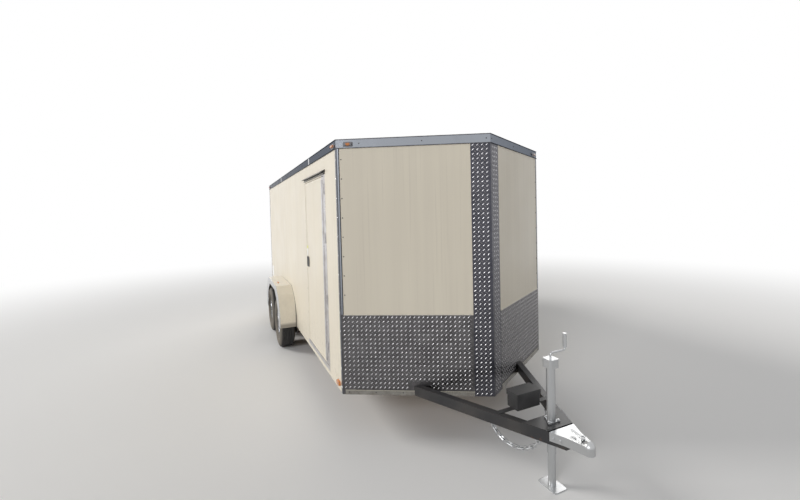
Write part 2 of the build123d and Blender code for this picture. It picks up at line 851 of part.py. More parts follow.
# Side door leaf, its edge trim with a raised strip behind the moving hinge leaves, and its flush lock.
leaf_mid_y = (leaf_y0 + leaf_y1) / 2
leaf_mid_z = (leaf_z0 + leaf_z1) / 2
with BuildPart() as side_door:
    with BuildSketch(side_plane(-1, leaf_mid_y, leaf_mid_z, -door_leaf_thickness)):
        RectangleRounded(leaf_y1 - leaf_y0, leaf_z1 - leaf_z0, door_corner_radius)
    extrude(amount=door_leaf_thickness)
save(side_door, "side_door")

with BuildPart() as side_door_trim:
    with BuildSketch(side_plane(-1, leaf_mid_y, leaf_mid_z)):
        RectangleRounded(leaf_y1 - leaf_y0, leaf_z1 - leaf_z0, door_corner_radius)
        Rectangle(leaf_y1 - leaf_y0 - 2 * door_trim_width, leaf_z1 - leaf_z0 - 2 * door_trim_width,
                  mode=Mode.SUBTRACT)
    extrude(amount=door_trim_thickness)
    face_x = -half_width - door_trim_thickness
    strip_y = leaf_y0 + door_edge_flat
    for rise, y0, y1 in (
        (door_trim_thickness, leaf_y0, strip_y),
        (door_edge_rise, strip_y, strip_y + door_edge_strip),
    ):
        block(-half_width - rise, -half_width, y0, y1, leaf_z0 + door_trim_width, leaf_z1 - door_trim_width)
    for hinge_z in door_hinge_zs:
        low = hinge_z - door_hinge_height / 2
        with BuildSketch(Plane.XY.offset(low + knuckle + knuckle_gap)):
            with Locations((door_axis_x, door_axis_y)):
                Circle(door_knuckle_radius)
            with Locations((face_x - door_hinge_gauge / 2, (leaf_y0 + door_hinge_inset + door_axis_y) / 2)):
                Rectangle(door_hinge_gauge, leaf_y0 + door_hinge_inset - door_axis_y)
            with Locations((door_axis_x, door_axis_y)):
                Circle(door_pin_radius + running_gap, mode=Mode.SUBTRACT)
        extrude(amount=knuckle)
        block(face_x - door_hinge_gauge, face_x, leaf_y0 + door_hinge_inset, leaf_y0 + door_hinge_leaf,
              low, low + door_hinge_height)
save(side_door_trim, "side_door_trim")

# Flush lock: a rounded plate with a sunk cup and a paddle in it.
lock_y = leaf_y1 - door_lock_edge - door_lock_width / 2
with BuildPart() as side_door_lock:
    with BuildSketch(side_plane(-1, lock_y, door_lock_z, door_trim_thickness)):
        RectangleRounded(door_lock_width, door_lock_height, door_lock_corner)
    extrude(amount=door_lock_depth)
    for border, from_face, amount, mode in (
        (door_lock_border, door_lock_depth, -door_cup_depth, Mode.SUBTRACT),
        (door_paddle_border, 0.0, door_paddle_height, Mode.ADD),
    ):
        with BuildSketch(side_plane(-1, lock_y, door_lock_z, door_trim_thickness + from_face)):
            with Locations((-door_lock_shift, door_lock_shift)):
                RectangleRounded(door_lock_width - 2 * border, door_lock_height - 2 * border,
                                 door_lock_corner / 2)
        extrude(amount=amount, mode=mode)
save(side_door_lock, "side_door_lock")

# Drip cap over the side door: a sloped ledge on the skin.
with BuildPart() as drip_cap:
    cap_low = door_frame_top
    with BuildSketch(Plane.XZ.offset(-door_y0 + drip_cap_overhang)):
        with BuildLine():
            Polyline(
                (-half_width, cap_low),
                (-half_width - drip_cap_reach, cap_low),
                (-half_width - drip_cap_reach, cap_low + drip_cap_lip),
                (-half_width, cap_low + drip_cap_height),
                close=True,
            )
        make_face()
    extrude(amount=-(door_frame_width + 2 * drip_cap_overhang))
save(drip_cap, "drip_cap")

# Top trim: a band round the eaves with a flange on the roof, a drip lip and a top bead.
with BuildPart() as top_trim:
    band(-sheet, 0, rear_y + sheet, rear_y, trim_bottom, body_top)
    band(0, top_trim_flange, rear_y, rear_y - top_trim_flange, roof_top, body_top)
    band(-sheet - drip_lip, -sheet, rear_y + sheet + drip_lip, rear_y + sheet,
         trim_bottom, trim_bottom + drip_lip_height)
    band(-sheet - bead_reach, -sheet, rear_y + sheet + bead_reach, rear_y + sheet,
         body_top - bead_height, body_top)
save(top_trim, "top_trim")

# Corner trims: a bent angle at each front corner and a square one at each rear corner.
with BuildPart() as corner_trims:
    for side in (-1, 1):
        prism(
            [
                (side * (half_width + sheet), front_y + corner_side_leg),
                (side * (half_width + sheet), corner_y(-sheet)),
                nose_point(side, nose_corner_leg, sheet),
                nose_point(side, nose_corner_leg),
                (side * half_width, front_y),
                (side * half_width, front_y + corner_side_leg),
            ],
            body_bottom, trim_bottom,
        )
        prism(
            [
                (side * (half_width + sheet), rear_y - corner_leg),
                (side * (half_width + sheet), rear_y + sheet),
                (side * (half_width - corner_leg), rear_y + sheet),
                (side * (half_width - corner_leg), rear_y),
                (side * half_width, rear_y),
                (side * half_width, rear_y - corner_leg),
            ],
            body_bottom, trim_bottom,
        )
save(corner_trims, "corner_trims")

# Nose strip over the ridge.
with BuildPart() as nose_cap:
    cap_along = nose_length - nose_strip
    prism(
        [
            nose_point(1, cap_along, sheet),
            (0, ridge_at(-sheet)),
            nose_point(-1, cap_along, sheet),
            nose_point(-1, cap_along),
            (0, ridge_y),
            nose_point(1, cap_along),
        ],
        body_bottom, trim_bottom,
    )
save(nose_cap, "nose_cap")

# Stone guards: a plate on each nose wall with a bottom rail and a top cap strip, notched for the tongue.
with BuildPart() as stone_guards:
    guard_width = nose_length - nose_strip - nose_corner_leg
    guard_mid = nose_corner_leg + guard_width / 2
    for side in (-1, 1):
        for height, place_z, reach, gauge in (
            (guard_height, body_bottom + guard_height / 2, 0.0, sheet),
            (guard_rail_height, body_bottom + guard_rail_height / 2, sheet, guard_rail_thickness),
            (guard_cap_height, body_bottom + guard_height - guard_cap_height / 2, sheet,
             guard_rail_thickness),
        ):
            with BuildSketch(nose_plane(side, guard_mid, place_z, reach)):
                Rectangle(guard_width, height)
            extrude(amount=gauge)
        rail_plan = tongue_plan(side, apex_y + tongue_rail_start, front_y)
        prism(rail_plan, body_bottom, rail_top, mode=Mode.SUBTRACT)
save(stone_guards, "stone_guards")


def fender_band(x, depth, inset_y, inset_z):
    """A band from a fender's profile to the same profile moved in, carried along X from x by depth."""
    with BuildSketch(Plane.YZ.offset(x)) as region:
        for in_y, in_z, mode in ((0, 0, Mode.ADD), (inset_y, inset_z, Mode.SUBTRACT)):
            half = fender_half_length - in_y
            top = fender_top - in_z
            with BuildLine():
                for end in (-1, 1):
                    toe = (group_y + end * half, fender_bottom)
                    leg = (group_y + end * half, fender_leg_height - in_z)
                    bend = (group_y + end * (half - fender_bend_back), fender_bend_height - in_z)
                    knee = (group_y + end * (half - fender_knee_back), fender_knee_height - in_z)
                    corner = (group_y + end * (half - fender_corner_back), top)
                    Line(toe, leg)
                    ThreePointArc(leg, bend, knee)
                    Line(knee, corner)
                Line(
                    (group_y - half + fender_corner_back, top),
                    (group_y + half - fender_corner_back, top),
                )
                Line((group_y - half, fender_bottom), (group_y + half, fender_bottom))
            make_face(mode=mode)
    extrude(region.sketch, amount=depth)


# Fenders: a folded sheet over both wheels, with a flange on the wall and a rolled lip at each end.
skirt_reach = fender_width - fender_sheet
for side, fender_side in ((1, "left"), (-1, "right")):
    with BuildPart() as fender:
        fender_band(side * half_width, side * skirt_reach, fender_sheet, fender_sheet)
        fender_band(side * half_width, side * fender_sheet, fender_flange, fender_flange)
        for end in (-1, 1):
            toe_y = group_y + end * (fender_half_length - fender_lip / 2)
            block(side * half_width, side * (half_width + skirt_reach), toe_y - fender_lip / 2,
                  toe_y + fender_lip / 2, fender_bottom - fender_sheet, fender_bottom)
    save(fender, f"fender_{fender_side}")

# Fender skirts: the bright outer faces.
with BuildPart() as fender_skirts:
    for side in (-1, 1):
        fender_band(side * (half_width + skirt_reach), side * fender_sheet,
                    fender_skirt_leg, fender_skirt_depth)
save(fender_skirts, "fender_skirts")


def leaf_z(y):
    """Height of the main leaf's top at a distance y from the axle, on one arc from eye to eye."""
    return leaf_top_z + spring_bend - sqrt(spring_bend**2 - y**2)


# Axles: a dropped tube with end plates, brake backing plates, spindles and spring seats.
plate_x = wheel_x + drum_back - backing_gap - backing_thickness - drop_plate_thickness
backing_x = plate_x + drop_plate_thickness
spindle_x = backing_x + backing_thickness
seat_half = tie_plate_length / 2
with BuildPart() as axles:
    for axle_y in axle_ys:
        with BuildSketch(Plane.YZ):
            with Locations((axle_y, tube_z)):
                Circle(axle_tube_radius)
        extrude(amount=plate_x, both=True)
        for side in (-1, 1):
            with BuildSketch(Plane.YZ.offset(side * plate_x)):
                with Locations((axle_y, (tube_z + tyre_radius) / 2)):
                    SlotOverall(axle_drop + drop_plate_width, drop_plate_width, rotation=90)
            extrude(amount=side * drop_plate_thickness)
            for start, depth, radius in (
                (backing_x, backing_thickness, drum_radius),
                (spindle_x, backing_gap - drum_back - hub_flange - spindle_end, spindle_radius),
            ):
                with BuildSketch(Plane.YZ.offset(side * start)):
                    with Locations((axle_y, tyre_radius)):
                        Circle(radius)
                extrude(amount=side * depth)
            with BuildSketch(Plane.YZ.offset(side * spring_x)):
                with BuildLine():
                    ThreePointArc(
                        (axle_y - seat_half, leaf_z(seat_half)),
                        (axle_y, leaf_top_z),
                        (axle_y + seat_half, leaf_z(seat_half)),
                    )
                    Polyline(
                        (axle_y + seat_half, leaf_z(seat_half)),
                        (axle_y + seat_half, leaf_top_z + spring_seat_height),
                        (axle_y - seat_half, leaf_top_z + spring_seat_height),
                        (axle_y - seat_half, leaf_z(seat_half)),
                    )
                make_face()
            extrude(amount=spring_width / 2, both=True)
save(axles, "axles")

# Leaf springs: three leaves on one bend, with rolled eyes on the main leaf and a tie plate below.
with BuildPart() as leaf_springs:
    for axle_y in axle_ys:
        for side in (-1, 1):
            with BuildSketch(Plane.YZ.offset(side * spring_x)):
                for index, span in enumerate(spring_spans):
                    lower = index * spring_gauge
                    with BuildLine():
                        for drop in (lower, lower + spring_gauge):
                            ThreePointArc(
                                (axle_y - span, leaf_z(span) - drop),
                                (axle_y, leaf_top_z - drop),
                                (axle_y + span, leaf_z(span) - drop),
                            )
                        for end in (-1, 1):
                            Line(
                                (axle_y + end * span, leaf_z(span) - lower),
                                (axle_y + end * span, leaf_z(span) - lower - spring_gauge),
                            )
                    make_face()
                with Locations((axle_y - spring_half_length, eye_z), (axle_y + spring_half_length, eye_z)):
                    Circle(spring_eye_radius)
                    Circle(spring_bolt_radius, mode=Mode.SUBTRACT)
            extrude(amount=spring_width / 2, both=True)
            tie_top = leaf_top_z - len(spring_spans) * spring_gauge
            block(side * spring_x - tie_plate_width / 2, side * spring_x + tie_plate_width / 2,
                  axle_y - tie_plate_length / 2, axle_y + tie_plate_length / 2,
                  tie_top - tie_plate_thickness, tie_top)
save(leaf_springs, "leaf_springs")

# Spring hangers: a top plate and two cheeks under each rail, with the bolt through them.
# Each place is a Y, the bolt's height and the cheeks' distance from the spring's middle.
shackle_run = axle_spacing / 2 - spring_half_length - equalizer_half
beam_z = eye_z + link_drop
pivot_z = beam_z + equalizer_lift
near_cheek = spring_width / 2 + hanger_gap
far_cheek = near_cheek + link_gauge + hanger_gap
hanger_places = (
    (axle_ys[0] - spring_half_length, eye_z, near_cheek),
    (group_y, pivot_z, near_cheek),
    (axle_ys[1] + spring_half_length + shackle_run, beam_z, far_cheek),
)
with BuildPart() as spring_hangers:
    for side in (-1, 1):
        for hanger_y, bolt_z, cheek_offset in hanger_places:
            reach = cheek_offset + hanger_gauge
            block(side * spring_x - reach, side * spring_x + reach, hanger_y - hanger_top_width / 2,
                  hanger_y + hanger_top_width / 2, body_bottom - hanger_gauge, body_bottom)
            for cheek in (-1, 1):
                with BuildSketch(Plane.YZ.offset(side * spring_x + cheek * cheek_offset)):
                    with BuildLine():
                        Polyline(
                            (hanger_y - hanger_top_width / 2, body_bottom),
                            (hanger_y + hanger_top_width / 2, body_bottom),
                            (hanger_y + hanger_bottom_width / 2, bolt_z - hanger_nose),
                            (hanger_y - hanger_bottom_width / 2, bolt_z - hanger_nose),
                            close=True,
                        )
                    make_face()
                extrude(amount=cheek * hanger_gauge)
            with BuildSketch(Plane.YZ.offset(side * spring_x)):
                with Locations((hanger_y, bolt_z)):
                    Circle(spring_bolt_radius)
            extrude(amount=reach + spring_bolt_end, both=True)
save(spring_hangers, "spring_hangers")

# Equalizers between the springs, and the shackle links from each free eye to its beam or hanger.
# Each shackle is the Y of the spring's eye, the Y of the point above that it hangs from, and the bolts' places
# along it; the last one hangs from its hanger's own bolt.
shackles = (
    (axle_ys[0] + spring_half_length, group_y - equalizer_half, (0, 1)),
    (axle_ys[1] - spring_half_length, group_y + equalizer_half, (0, 1)),
    (axle_ys[1] + spring_half_length, axle_ys[1] + spring_half_length + shackle_run, (0,)),
)
with BuildPart() as equalizers:
    beam_end = equalizer_half + link_width / 2
    for side in (-1, 1):
        with BuildSketch(Plane.YZ.offset(side * spring_x)):
            with BuildLine():
                Polyline(
                    (group_y - beam_end, beam_z - link_width / 2),
                    (group_y + beam_end, beam_z - link_width / 2),
                    (group_y + beam_end, beam_z + link_width / 2),
                    (group_y + equalizer_crown, pivot_z + equalizer_height / 2),
                    (group_y - equalizer_crown, pivot_z + equalizer_height / 2),
                    (group_y - beam_end, beam_z + link_width / 2),
                    close=True,
                )
            make_face()
            with Locations((group_y, pivot_z)):
                Circle(spring_bolt_radius + running_gap, mode=Mode.SUBTRACT)
        extrude(amount=spring_width / 2, both=True)
        for eye_y, hang_y, bolt_shares in shackles:
            angle = degrees(atan2(beam_z - eye_z, hang_y - eye_y))
            for cheek in (-1, 1):
                with BuildSketch(Plane.YZ.offset(side * spring_x + cheek * (spring_width / 2 + running_gap))):
                    with Locations(((eye_y + hang_y) / 2, (eye_z + beam_z) / 2)):
                        SlotCenterToCenter(hypot(hang_y - eye_y, beam_z - eye_z), link_width, rotation=angle)
                    with Locations((hang_y, beam_z)):
                        Circle(spring_bolt_radius + running_gap, mode=Mode.SUBTRACT)
                extrude(amount=cheek * link_gauge)
            with BuildSketch(Plane.YZ.offset(side * spring_x)):
                for share in bolt_shares:
                    with Locations((eye_y + share * (hang_y - eye_y), eye_z + share * (beam_z - eye_z))):
                        Circle(spring_bolt_radius)
            extrude(amount=spring_width / 2 + running_gap + link_gauge + spring_bolt_end / 2, both=True)
save(equalizers, "equalizers")


def axial_plane(side, y):
    """A plane through a wheel's axis: local X runs outwards along the axle and local Y straight up."""
    return Plane(origin=(side * wheel_x, y, tyre_radius), x_dir=(side, 0, 0), z_dir=(0, -side, 0))


def face_plane(side, y, reach=0.0):
    """A plane square to a wheel's axis, its normal pointing outwards."""
    return Plane(origin=(side * (wheel_x + reach), y, tyre_radius), x_dir=(0, side, 0), z_dir=(side, 0, 0))


# Wheels: tyre, rim with its disc and nuts, and hub with brake drum; columns are name, side and axle.
wheels = (
    ("front_right", -1, axle_ys[0]),
    ("front_left", 1, axle_ys[0]),
    ("rear_right", -1, axle_ys[1]),
    ("rear_left", 1, axle_ys[1]),
)
half_rim = rim_width / 2
half_tyre = tyre_width / 2
for wheel_name, side, axle_y in wheels:
    wheel_axis = Axis((side * wheel_x, axle_y, tyre_radius), (1, 0, 0))
    with BuildPart() as tyre:
        with BuildSketch(axial_plane(side, axle_y)):
            with BuildLine():
                for edge in (-1, 1):
                    Line((edge * tyre_bead_half, bead_radius), (edge * tyre_bead_half, tyre_bead_top))
                    ThreePointArc(
                        (edge * tyre_bead_half, tyre_bead_top),
                        (edge * half_tyre, tyre_bulge_radius),
                        (edge * tread_half, shoulder_radius),
                    )
                    Line((edge * tread_half, shoulder_radius), (edge * tread_flat, tyre_radius))
                Line((-tyre_bead_half, bead_radius), (tyre_bead_half, bead_radius))
                Line((-tread_flat, tyre_radius), (tread_flat, tyre_radius))
            make_face()
        revolve(axis=wheel_axis)
    save(tyre, f"tyre_{wheel_name}")

    with BuildPart() as rim:
        with BuildSketch(axial_plane(side, axle_y)):
            with BuildLine():
                flange_in = half_rim - rim_flange_width
                Polyline(
                    (half_rim, rim_seat_radius - rim_gauge),
                    (half_rim, rim_flange_radius),
                    (flange_in, rim_flange_radius),
                    (flange_in, rim_seat_radius),
                    (rim_seat_half, rim_seat_radius),
                    (rim_well_half, rim_well_radius),
                    (-rim_well_half, rim_well_radius),
                    (-rim_seat_half, rim_seat_radius),
                    (-flange_in, rim_seat_radius),
                    (-flange_in, rim_flange_radius),
                    (-half_rim, rim_flange_radius),
                    (-half_rim, rim_seat_radius - rim_gauge),
                    (-rim_seat_half, rim_seat_radius - rim_gauge),
                    (-rim_well_half, rim_well_radius - rim_gauge),
                    (rim_well_half, rim_well_radius - rim_gauge),
                    (rim_seat_half, rim_seat_radius - rim_gauge),
                    close=True,
                )
            make_face()
            with BuildLine():
                disc_edge = rim_well_radius - rim_gauge / 2
                Polyline(
                    (0, centre_bore),
                    (disc_gauge, centre_bore),
                    (disc_gauge, disc_flat_radius),
                    (disc_crown + disc_gauge, disc_crown_radius),
                    (disc_rim + disc_gauge, disc_edge),
                    (disc_rim, disc_edge),
                    (disc_crown, disc_crown_radius),
                    (0, disc_flat_radius),
                    close=True,
                )
            make_face()
        revolve(axis=wheel_axis)
        with BuildSketch(face_plane(side, axle_y)):
            with PolarLocations(window_radius, window_count):
                RectangleRounded(window_height, window_outer, window_corner)
        extrude(amount=half_rim, mode=Mode.SUBTRACT)
        with BuildSketch(face_plane(side, axle_y, disc_gauge)):
            with PolarLocations(bolt_circle / 2, bolt_count):
                RegularPolygon(nut_across / 2, 6, major_radius=False)
        extrude(amount=nut_height)
    save(rim, f"rim_{wheel_name}")

    with BuildPart() as hub:
        with BuildSketch(axial_plane(side, axle_y)):
            with BuildLine():
                Polyline(
                    (drum_back, spindle_radius + spindle_clearance),
                    (drum_back, drum_radius),
                    (-drum_lip, drum_radius),
                    (-hub_flange, drum_radius - hub_flange),
                    (-hub_flange, disc_flat_radius),
                    (0, disc_flat_radius),
                    (0, cap_radius),
                    (cap_reach - cap_edge, cap_radius),
                    (cap_reach, cap_radius - cap_edge),
                    (cap_reach, 0),
                    (-hub_flange, 0),
                    (-hub_flange, spindle_radius + spindle_clearance),
                    close=True,
                )
            make_face()
        revolve(axis=wheel_axis)
    save(hub, f"hub_{wheel_name}")

# One chain link lying flat: a hexagonal wire round an eight-sided path, its ends cut at 45 degrees.
with BuildPart() as chain_link:
    link_half = (chain_inner_length + chain_wire) / 2
    link_side = (chain_inner_width + chain_wire) / 2
    link_cut = link_side * (2 - sqrt(2))
    with BuildLine() as link_path:
        Polyline(
            (0, link_side),
            (link_cut - link_half, link_side),
            (-link_half, link_side - link_cut),
            (-link_half, link_cut - link_side),
            (link_cut - link_half, -link_side),
            (link_half - link_cut, -link_side),
            (link_half, link_cut - link_side),
            (link_half, link_side - link_cut),
            (link_half - link_cut, link_side),
            close=True,
        )
    with BuildSketch(Plane.YZ):
        with Locations((link_side, 0)):
            RegularPolygon(chain_wire / 2, 6)
    sweep(path=link_path.wires()[0], transition=Transition.RIGHT)


def hanging_links(count, end_angle, pitch):
    """Distance along, height and slope of each link of a chain hung between two level points."""
    along = 0.0
    height = 0.0
    links = []
    for index in range(count):
        slope = radians(end_angle * (2 * index / (count - 1) - 1))
        links.append((along + pitch / 2 * cos(slope), height + pitch / 2 * sin(slope), slope))
        along += pitch * cos(slope)
        height += pitch * sin(slope)
    return links


# Safety chains: one hangs below each tongue rail between two welded tabs, its links in turn flat and on edge.
chain_hang = hanging_links(chain_links, chain_end_angle, chain_inner_length - chain_play)
chain_middle = chain_hang[chain_links // 2][0]
tab_z = body_bottom - chain_tab_drop
wire_seat = chain_tab_hole - chain_wire / 2 - chain_play
end_reach = link_half + wire_seat
with BuildPart() as safety_chains:
    rail_turn = radians(tongue_angle)
    for side in (-1, 1):
        along_rail = Vector(side * sin(rail_turn), cos(rail_turn), 0)
        across_rail = Vector(cos(rail_turn), -side * sin(rail_turn), 0)
        chain_y = ball_y + chain_setback
        hang_point = Vector(side * tongue_edge(chain_y, 0), chain_y, 0)
        first_along, first_height, first_slope = chain_hang[0]
        hole_along = first_along - end_reach * cos(first_slope) - chain_middle
        base_z = tab_z - first_height + end_reach * sin(first_slope)
        link_places = []
        for index, (along, height, slope) in enumerate(chain_hang):
            centre = hang_point + along_rail * (along - chain_middle) + Vector(0, 0, base_z + height)
            direction = along_rail * cos(slope) + Vector(0, 0, sin(slope))
            flat_normal = across_rail.cross(direction)
            facing = across_rail if index % 2 else flat_normal
            link_places.append(Plane(centre, x_dir=direction, z_dir=facing))
        with Locations(*link_places):
            add(chain_link.part)
        for end in (-1, 1):
            tab_centre = hang_point - along_rail * hole_along * end + Vector(0, 0, tab_z)
            with BuildSketch(Plane(tab_centre, x_dir=along_rail, z_dir=across_rail)) as tab:
                Circle(chain_tab_radius)
                with Locations((0, chain_tab_drop / 2)):
                    Rectangle(2 * chain_tab_radius, chain_tab_drop)
                Circle(chain_tab_hole, mode=Mode.SUBTRACT)
            extrude(amount=chain_tab_gauge / 2, both=True)
save(safety_chains, "safety_chains")


def add_lamp(plane, size):
    """One lens on a plane: a rounded block that tapers outwards."""
    length, height, depth = size
    with BuildSketch(plane) as lens:
        RectangleRounded(length, height, height * lamp_corner_share)
    extrude(lens.sketch, amount=depth, taper=lamp_taper_angle)


# Lamps. Those on the top trim stand on its band; the low ones stand on the skin.
lamp_z = trim_bottom + trim_lamp_lift
with BuildPart() as amber_lamps:
    for side in (-1, 1):
        add_lamp(nose_plane(side, nose_lamp_along, lamp_z, sheet), marker_lamp)
        add_lamp(side_plane(side, front_y + side_lamp_back, lamp_z, sheet), marker_lamp)
        add_lamp(side_plane(side, front_y + low_lamp_back, body_bottom + low_lamp_lift), side_lamp)
        fender_lamp_x = side * (half_width + skirt_reach - fender_lamp_inset)
        fender_lamp_at = (fender_lamp_x, group_y - fender_lamp_lead, fender_top)
        add_lamp(Plane(origin=fender_lamp_at, x_dir=(0, 1, 0), z_dir=(0, 0, 1)), marker_lamp)
save(amber_lamps, "amber_lamps")

with BuildPart() as red_lamps:
    for side in (-1, 1):
        add_lamp(side_plane(side, rear_y - rear_lamp_inset, lamp_z, sheet), marker_lamp)
        add_lamp(side_plane(side, rear_y - rear_lamp_inset, rear_low_lamp_z), marker_lamp)
        add_lamp(rear_plane(side * (half_width - rear_lamp_inset), lamp_z, sheet), marker_lamp)
    for index in (-1, 0, 1):
        add_lamp(rear_plane(index * rear_row_pitch, lamp_z, sheet), marker_lamp)
save(red_lamps, "red_lamps")

# Tail lamps: tall oval lenses on the corner posts, their outer halves over the corner trims.
with BuildPart() as tail_lamps:
    lens_height, lens_width, lens_depth = tail_lamp
    for side in (-1, 1):
        with BuildSketch(rear_plane(side * (half_width - post_size / 2), tail_lamp_z, sheet)) as lens:
            SlotOverall(lens_height, lens_width, rotation=90)
        extrude(lens.sketch, amount=lens_depth, taper=lamp_taper_angle)
save(tail_lamps, "tail_lamps")

# Roof vent: a ring round the opening with the hinges' fixed knuckles, and a lid whose skirt hides the ring.
ring_high = roof_top + vent_frame_height
lid_low = roof_top + vent_lid_lift
lid_inner = vent_ring + vent_gap
lid_outer = lid_inner + vent_lid_wall
vent_axis_y = vent_y - lid_outer - vent_hinge_reach
vent_axis_z = lid_low
vent_hinge_xs = (-vent_hinge_x, vent_hinge_x)
with BuildPart() as vent_frame:
    block(-vent_ring, vent_ring, vent_y - vent_ring, vent_y + vent_ring, roof_top, ring_high)
    block(-vent_half, vent_half, vent_y - vent_half, vent_y + vent_half,
          roof_top, ring_high, mode=Mode.SUBTRACT)
    for hinge_x in vent_hinge_xs:
        with BuildSketch(Plane.YZ.offset(hinge_x - vent_knuckle_length)):
            with BuildLine():
                bracket_high = vent_axis_z - vent_hinge_radius
                Polyline(
                    (vent_axis_y - vent_hinge_radius, vent_axis_z),
                    (vent_axis_y - vent_hinge_radius, bracket_high - vent_bracket_gauge),
                    (vent_y - vent_ring, bracket_high - vent_bracket_gauge),
                    (vent_y - vent_ring, bracket_high),
                    (vent_axis_y + vent_hinge_radius, bracket_high),
                    (vent_axis_y + vent_hinge_radius, vent_axis_z),
                    close=True,
                )
            make_face()
            with Locations((vent_axis_y, vent_axis_z)):
                Circle(vent_hinge_radius)
        extrude(amount=vent_knuckle_length)
        with BuildSketch(Plane.YZ.offset(hinge_x)):
            with Locations((vent_axis_y, vent_axis_z)):
                Circle(vent_pin_radius)
        extrude(amount=vent_knuckle_length + knuckle_gap)
save(vent_frame, "vent_frame")

with BuildPart() as vent_lid:
    lid_high = ring_high + vent_gap + vent_lid_wall
    with BuildSketch(Plane.XY.offset(lid_low)):
        with Locations((0, vent_y)):
            RectangleRounded(2 * lid_outer, 2 * lid_outer, vent_gap + vent_lid_wall)
    extrude(amount=lid_high - lid_low)
    with BuildSketch(Plane.XY.offset(lid_low)):
        with Locations((0, vent_y)):
            RectangleRounded(2 * lid_inner, 2 * lid_inner, vent_gap)
    extrude(amount=lid_high - vent_lid_wall - lid_low, mode=Mode.SUBTRACT)
    with BuildSketch(Plane.XY.offset(lid_high)):
        with Locations((0, vent_y)):
            RectangleRounded(2 * lid_outer, 2 * lid_outer, vent_gap + vent_lid_wall)
    extrude(amount=vent_crown, taper=vent_crown_angle)
    for hinge_x in vent_hinge_xs:
        with BuildSketch(Plane.YZ.offset(hinge_x + knuckle_gap)):
            with Locations((vent_axis_y, vent_axis_z)):
                Circle(vent_hinge_radius)
            with Locations((vent_axis_y + vent_hinge_reach / 2, vent_axis_z + vent_hinge_radius / 2)):
                Rectangle(vent_hinge_reach, vent_hinge_radius)
            with Locations((vent_axis_y, vent_axis_z)):
                Circle(vent_pin_radius + running_gap, mode=Mode.SUBTRACT)
        extrude(amount=vent_knuckle_length)
save(vent_lid, "vent_lid")
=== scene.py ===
"""Looks of a tandem-axle box trailer with a V nose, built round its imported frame.

Metres. +Z is up, the front faces -Y and the kerb side faces -X. Every mesh is worked out with numpy, holds
its place in its own points and rides on a body of the frame.
"""

import json
from math import cos, hypot, pi, radians, sin, tan

import bpy
import numpy as np
from bpy.props import FloatProperty, FloatVectorProperty, IntProperty, PointerProperty
from mathutils import Matrix, Vector


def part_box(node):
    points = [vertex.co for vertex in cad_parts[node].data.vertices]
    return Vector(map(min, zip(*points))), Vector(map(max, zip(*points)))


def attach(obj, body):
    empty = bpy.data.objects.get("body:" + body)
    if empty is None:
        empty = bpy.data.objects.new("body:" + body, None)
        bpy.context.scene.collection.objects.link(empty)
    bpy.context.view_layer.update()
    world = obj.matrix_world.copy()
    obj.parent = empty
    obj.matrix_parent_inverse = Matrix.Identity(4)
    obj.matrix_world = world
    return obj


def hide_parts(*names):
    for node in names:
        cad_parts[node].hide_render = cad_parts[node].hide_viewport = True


bl_info = {
    "name": "Box trailer looks",
    "version": (1, 0, 0),
    "blender": (4, 5, 0),
    "location": "3D View > Sidebar > Trailer",
    "description": "Finishes and small fittings of a box trailer, built round its packed frame",
    "category": "Object",
}

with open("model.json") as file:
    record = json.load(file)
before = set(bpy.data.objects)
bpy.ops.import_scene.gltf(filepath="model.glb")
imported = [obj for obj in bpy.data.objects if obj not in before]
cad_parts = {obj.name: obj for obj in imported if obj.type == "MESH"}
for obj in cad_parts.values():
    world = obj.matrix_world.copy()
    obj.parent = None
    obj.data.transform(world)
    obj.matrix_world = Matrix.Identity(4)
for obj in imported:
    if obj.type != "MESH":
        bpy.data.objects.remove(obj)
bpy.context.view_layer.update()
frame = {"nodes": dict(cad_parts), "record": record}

# Directions: up, towards the rear, and out of the kerb side
UP = np.array((0.0, 0.0, 1.0))
BACK = np.array((0.0, 1.0, 0.0))
KERB = np.array((-1.0, 0.0, 0.0))

# Places read from the frame
WALL_LOW, WALL_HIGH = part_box("wall_left")
DOOR_LOW, DOOR_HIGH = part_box("side_door")
DOOR_FRAME_LOW, DOOR_FRAME_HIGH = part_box("side_door_frame")
LOCK_LOW, LOCK_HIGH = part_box("side_door_lock")
RAMP_LOW, RAMP_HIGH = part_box("ramp_door")
DECK_BOTTOM, DECK_TOP = (corner.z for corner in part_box("floor_deck"))
AXLE_MIDDLE = sum(corner.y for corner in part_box("axles")) / 2
HALF_WIDTH = WALL_HIGH.x
FRONT_Y = WALL_LOW.y
REAR_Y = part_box("rear_frame")[1].y
BODY_LOW = WALL_LOW.z
BODY_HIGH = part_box("top_trim")[1].z
TRIM_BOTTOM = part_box("corner_trims")[1].z
GUARD_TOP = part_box("stone_guards")[1].z
FENDER_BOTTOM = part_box("fender_left")[0].z
SPRING_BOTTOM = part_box("leaf_springs")[0].z
TONGUE_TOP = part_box("tongue")[1].z
NOSE_DEPTH = FRONT_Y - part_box("nose_wall_left")[0].y
NOSE_LENGTH = hypot(HALF_WIDTH, NOSE_DEPTH)

# Depth behind the outline at which the shell's plywood inside begins
INSIDE_DEPTH = 0.024

# Sizes that the CAD model states and the small fittings follow
# Gauge of the trims' sheet, both legs of the corner trims, and where the nose strip starts along the wall
SHEET = 0.002
NOSE_CORNER_LEG = 0.025
CORNER_SIDE_LEG = 0.030
STRIP_START = NOSE_LENGTH - 0.155

# Stone guards: height of the bottom rail, its reach from the wall, and height of the top edge
GUARD_RAIL = 0.040
GUARD_RAIL_REACH = 0.005
GUARD_CAP = 0.012

# Marker lamps: how far the one on the nose is from the corner, and their height
NOSE_LAMP_ALONG = 0.1
LAMP_Z = TRIM_BOTTOM + 0.032

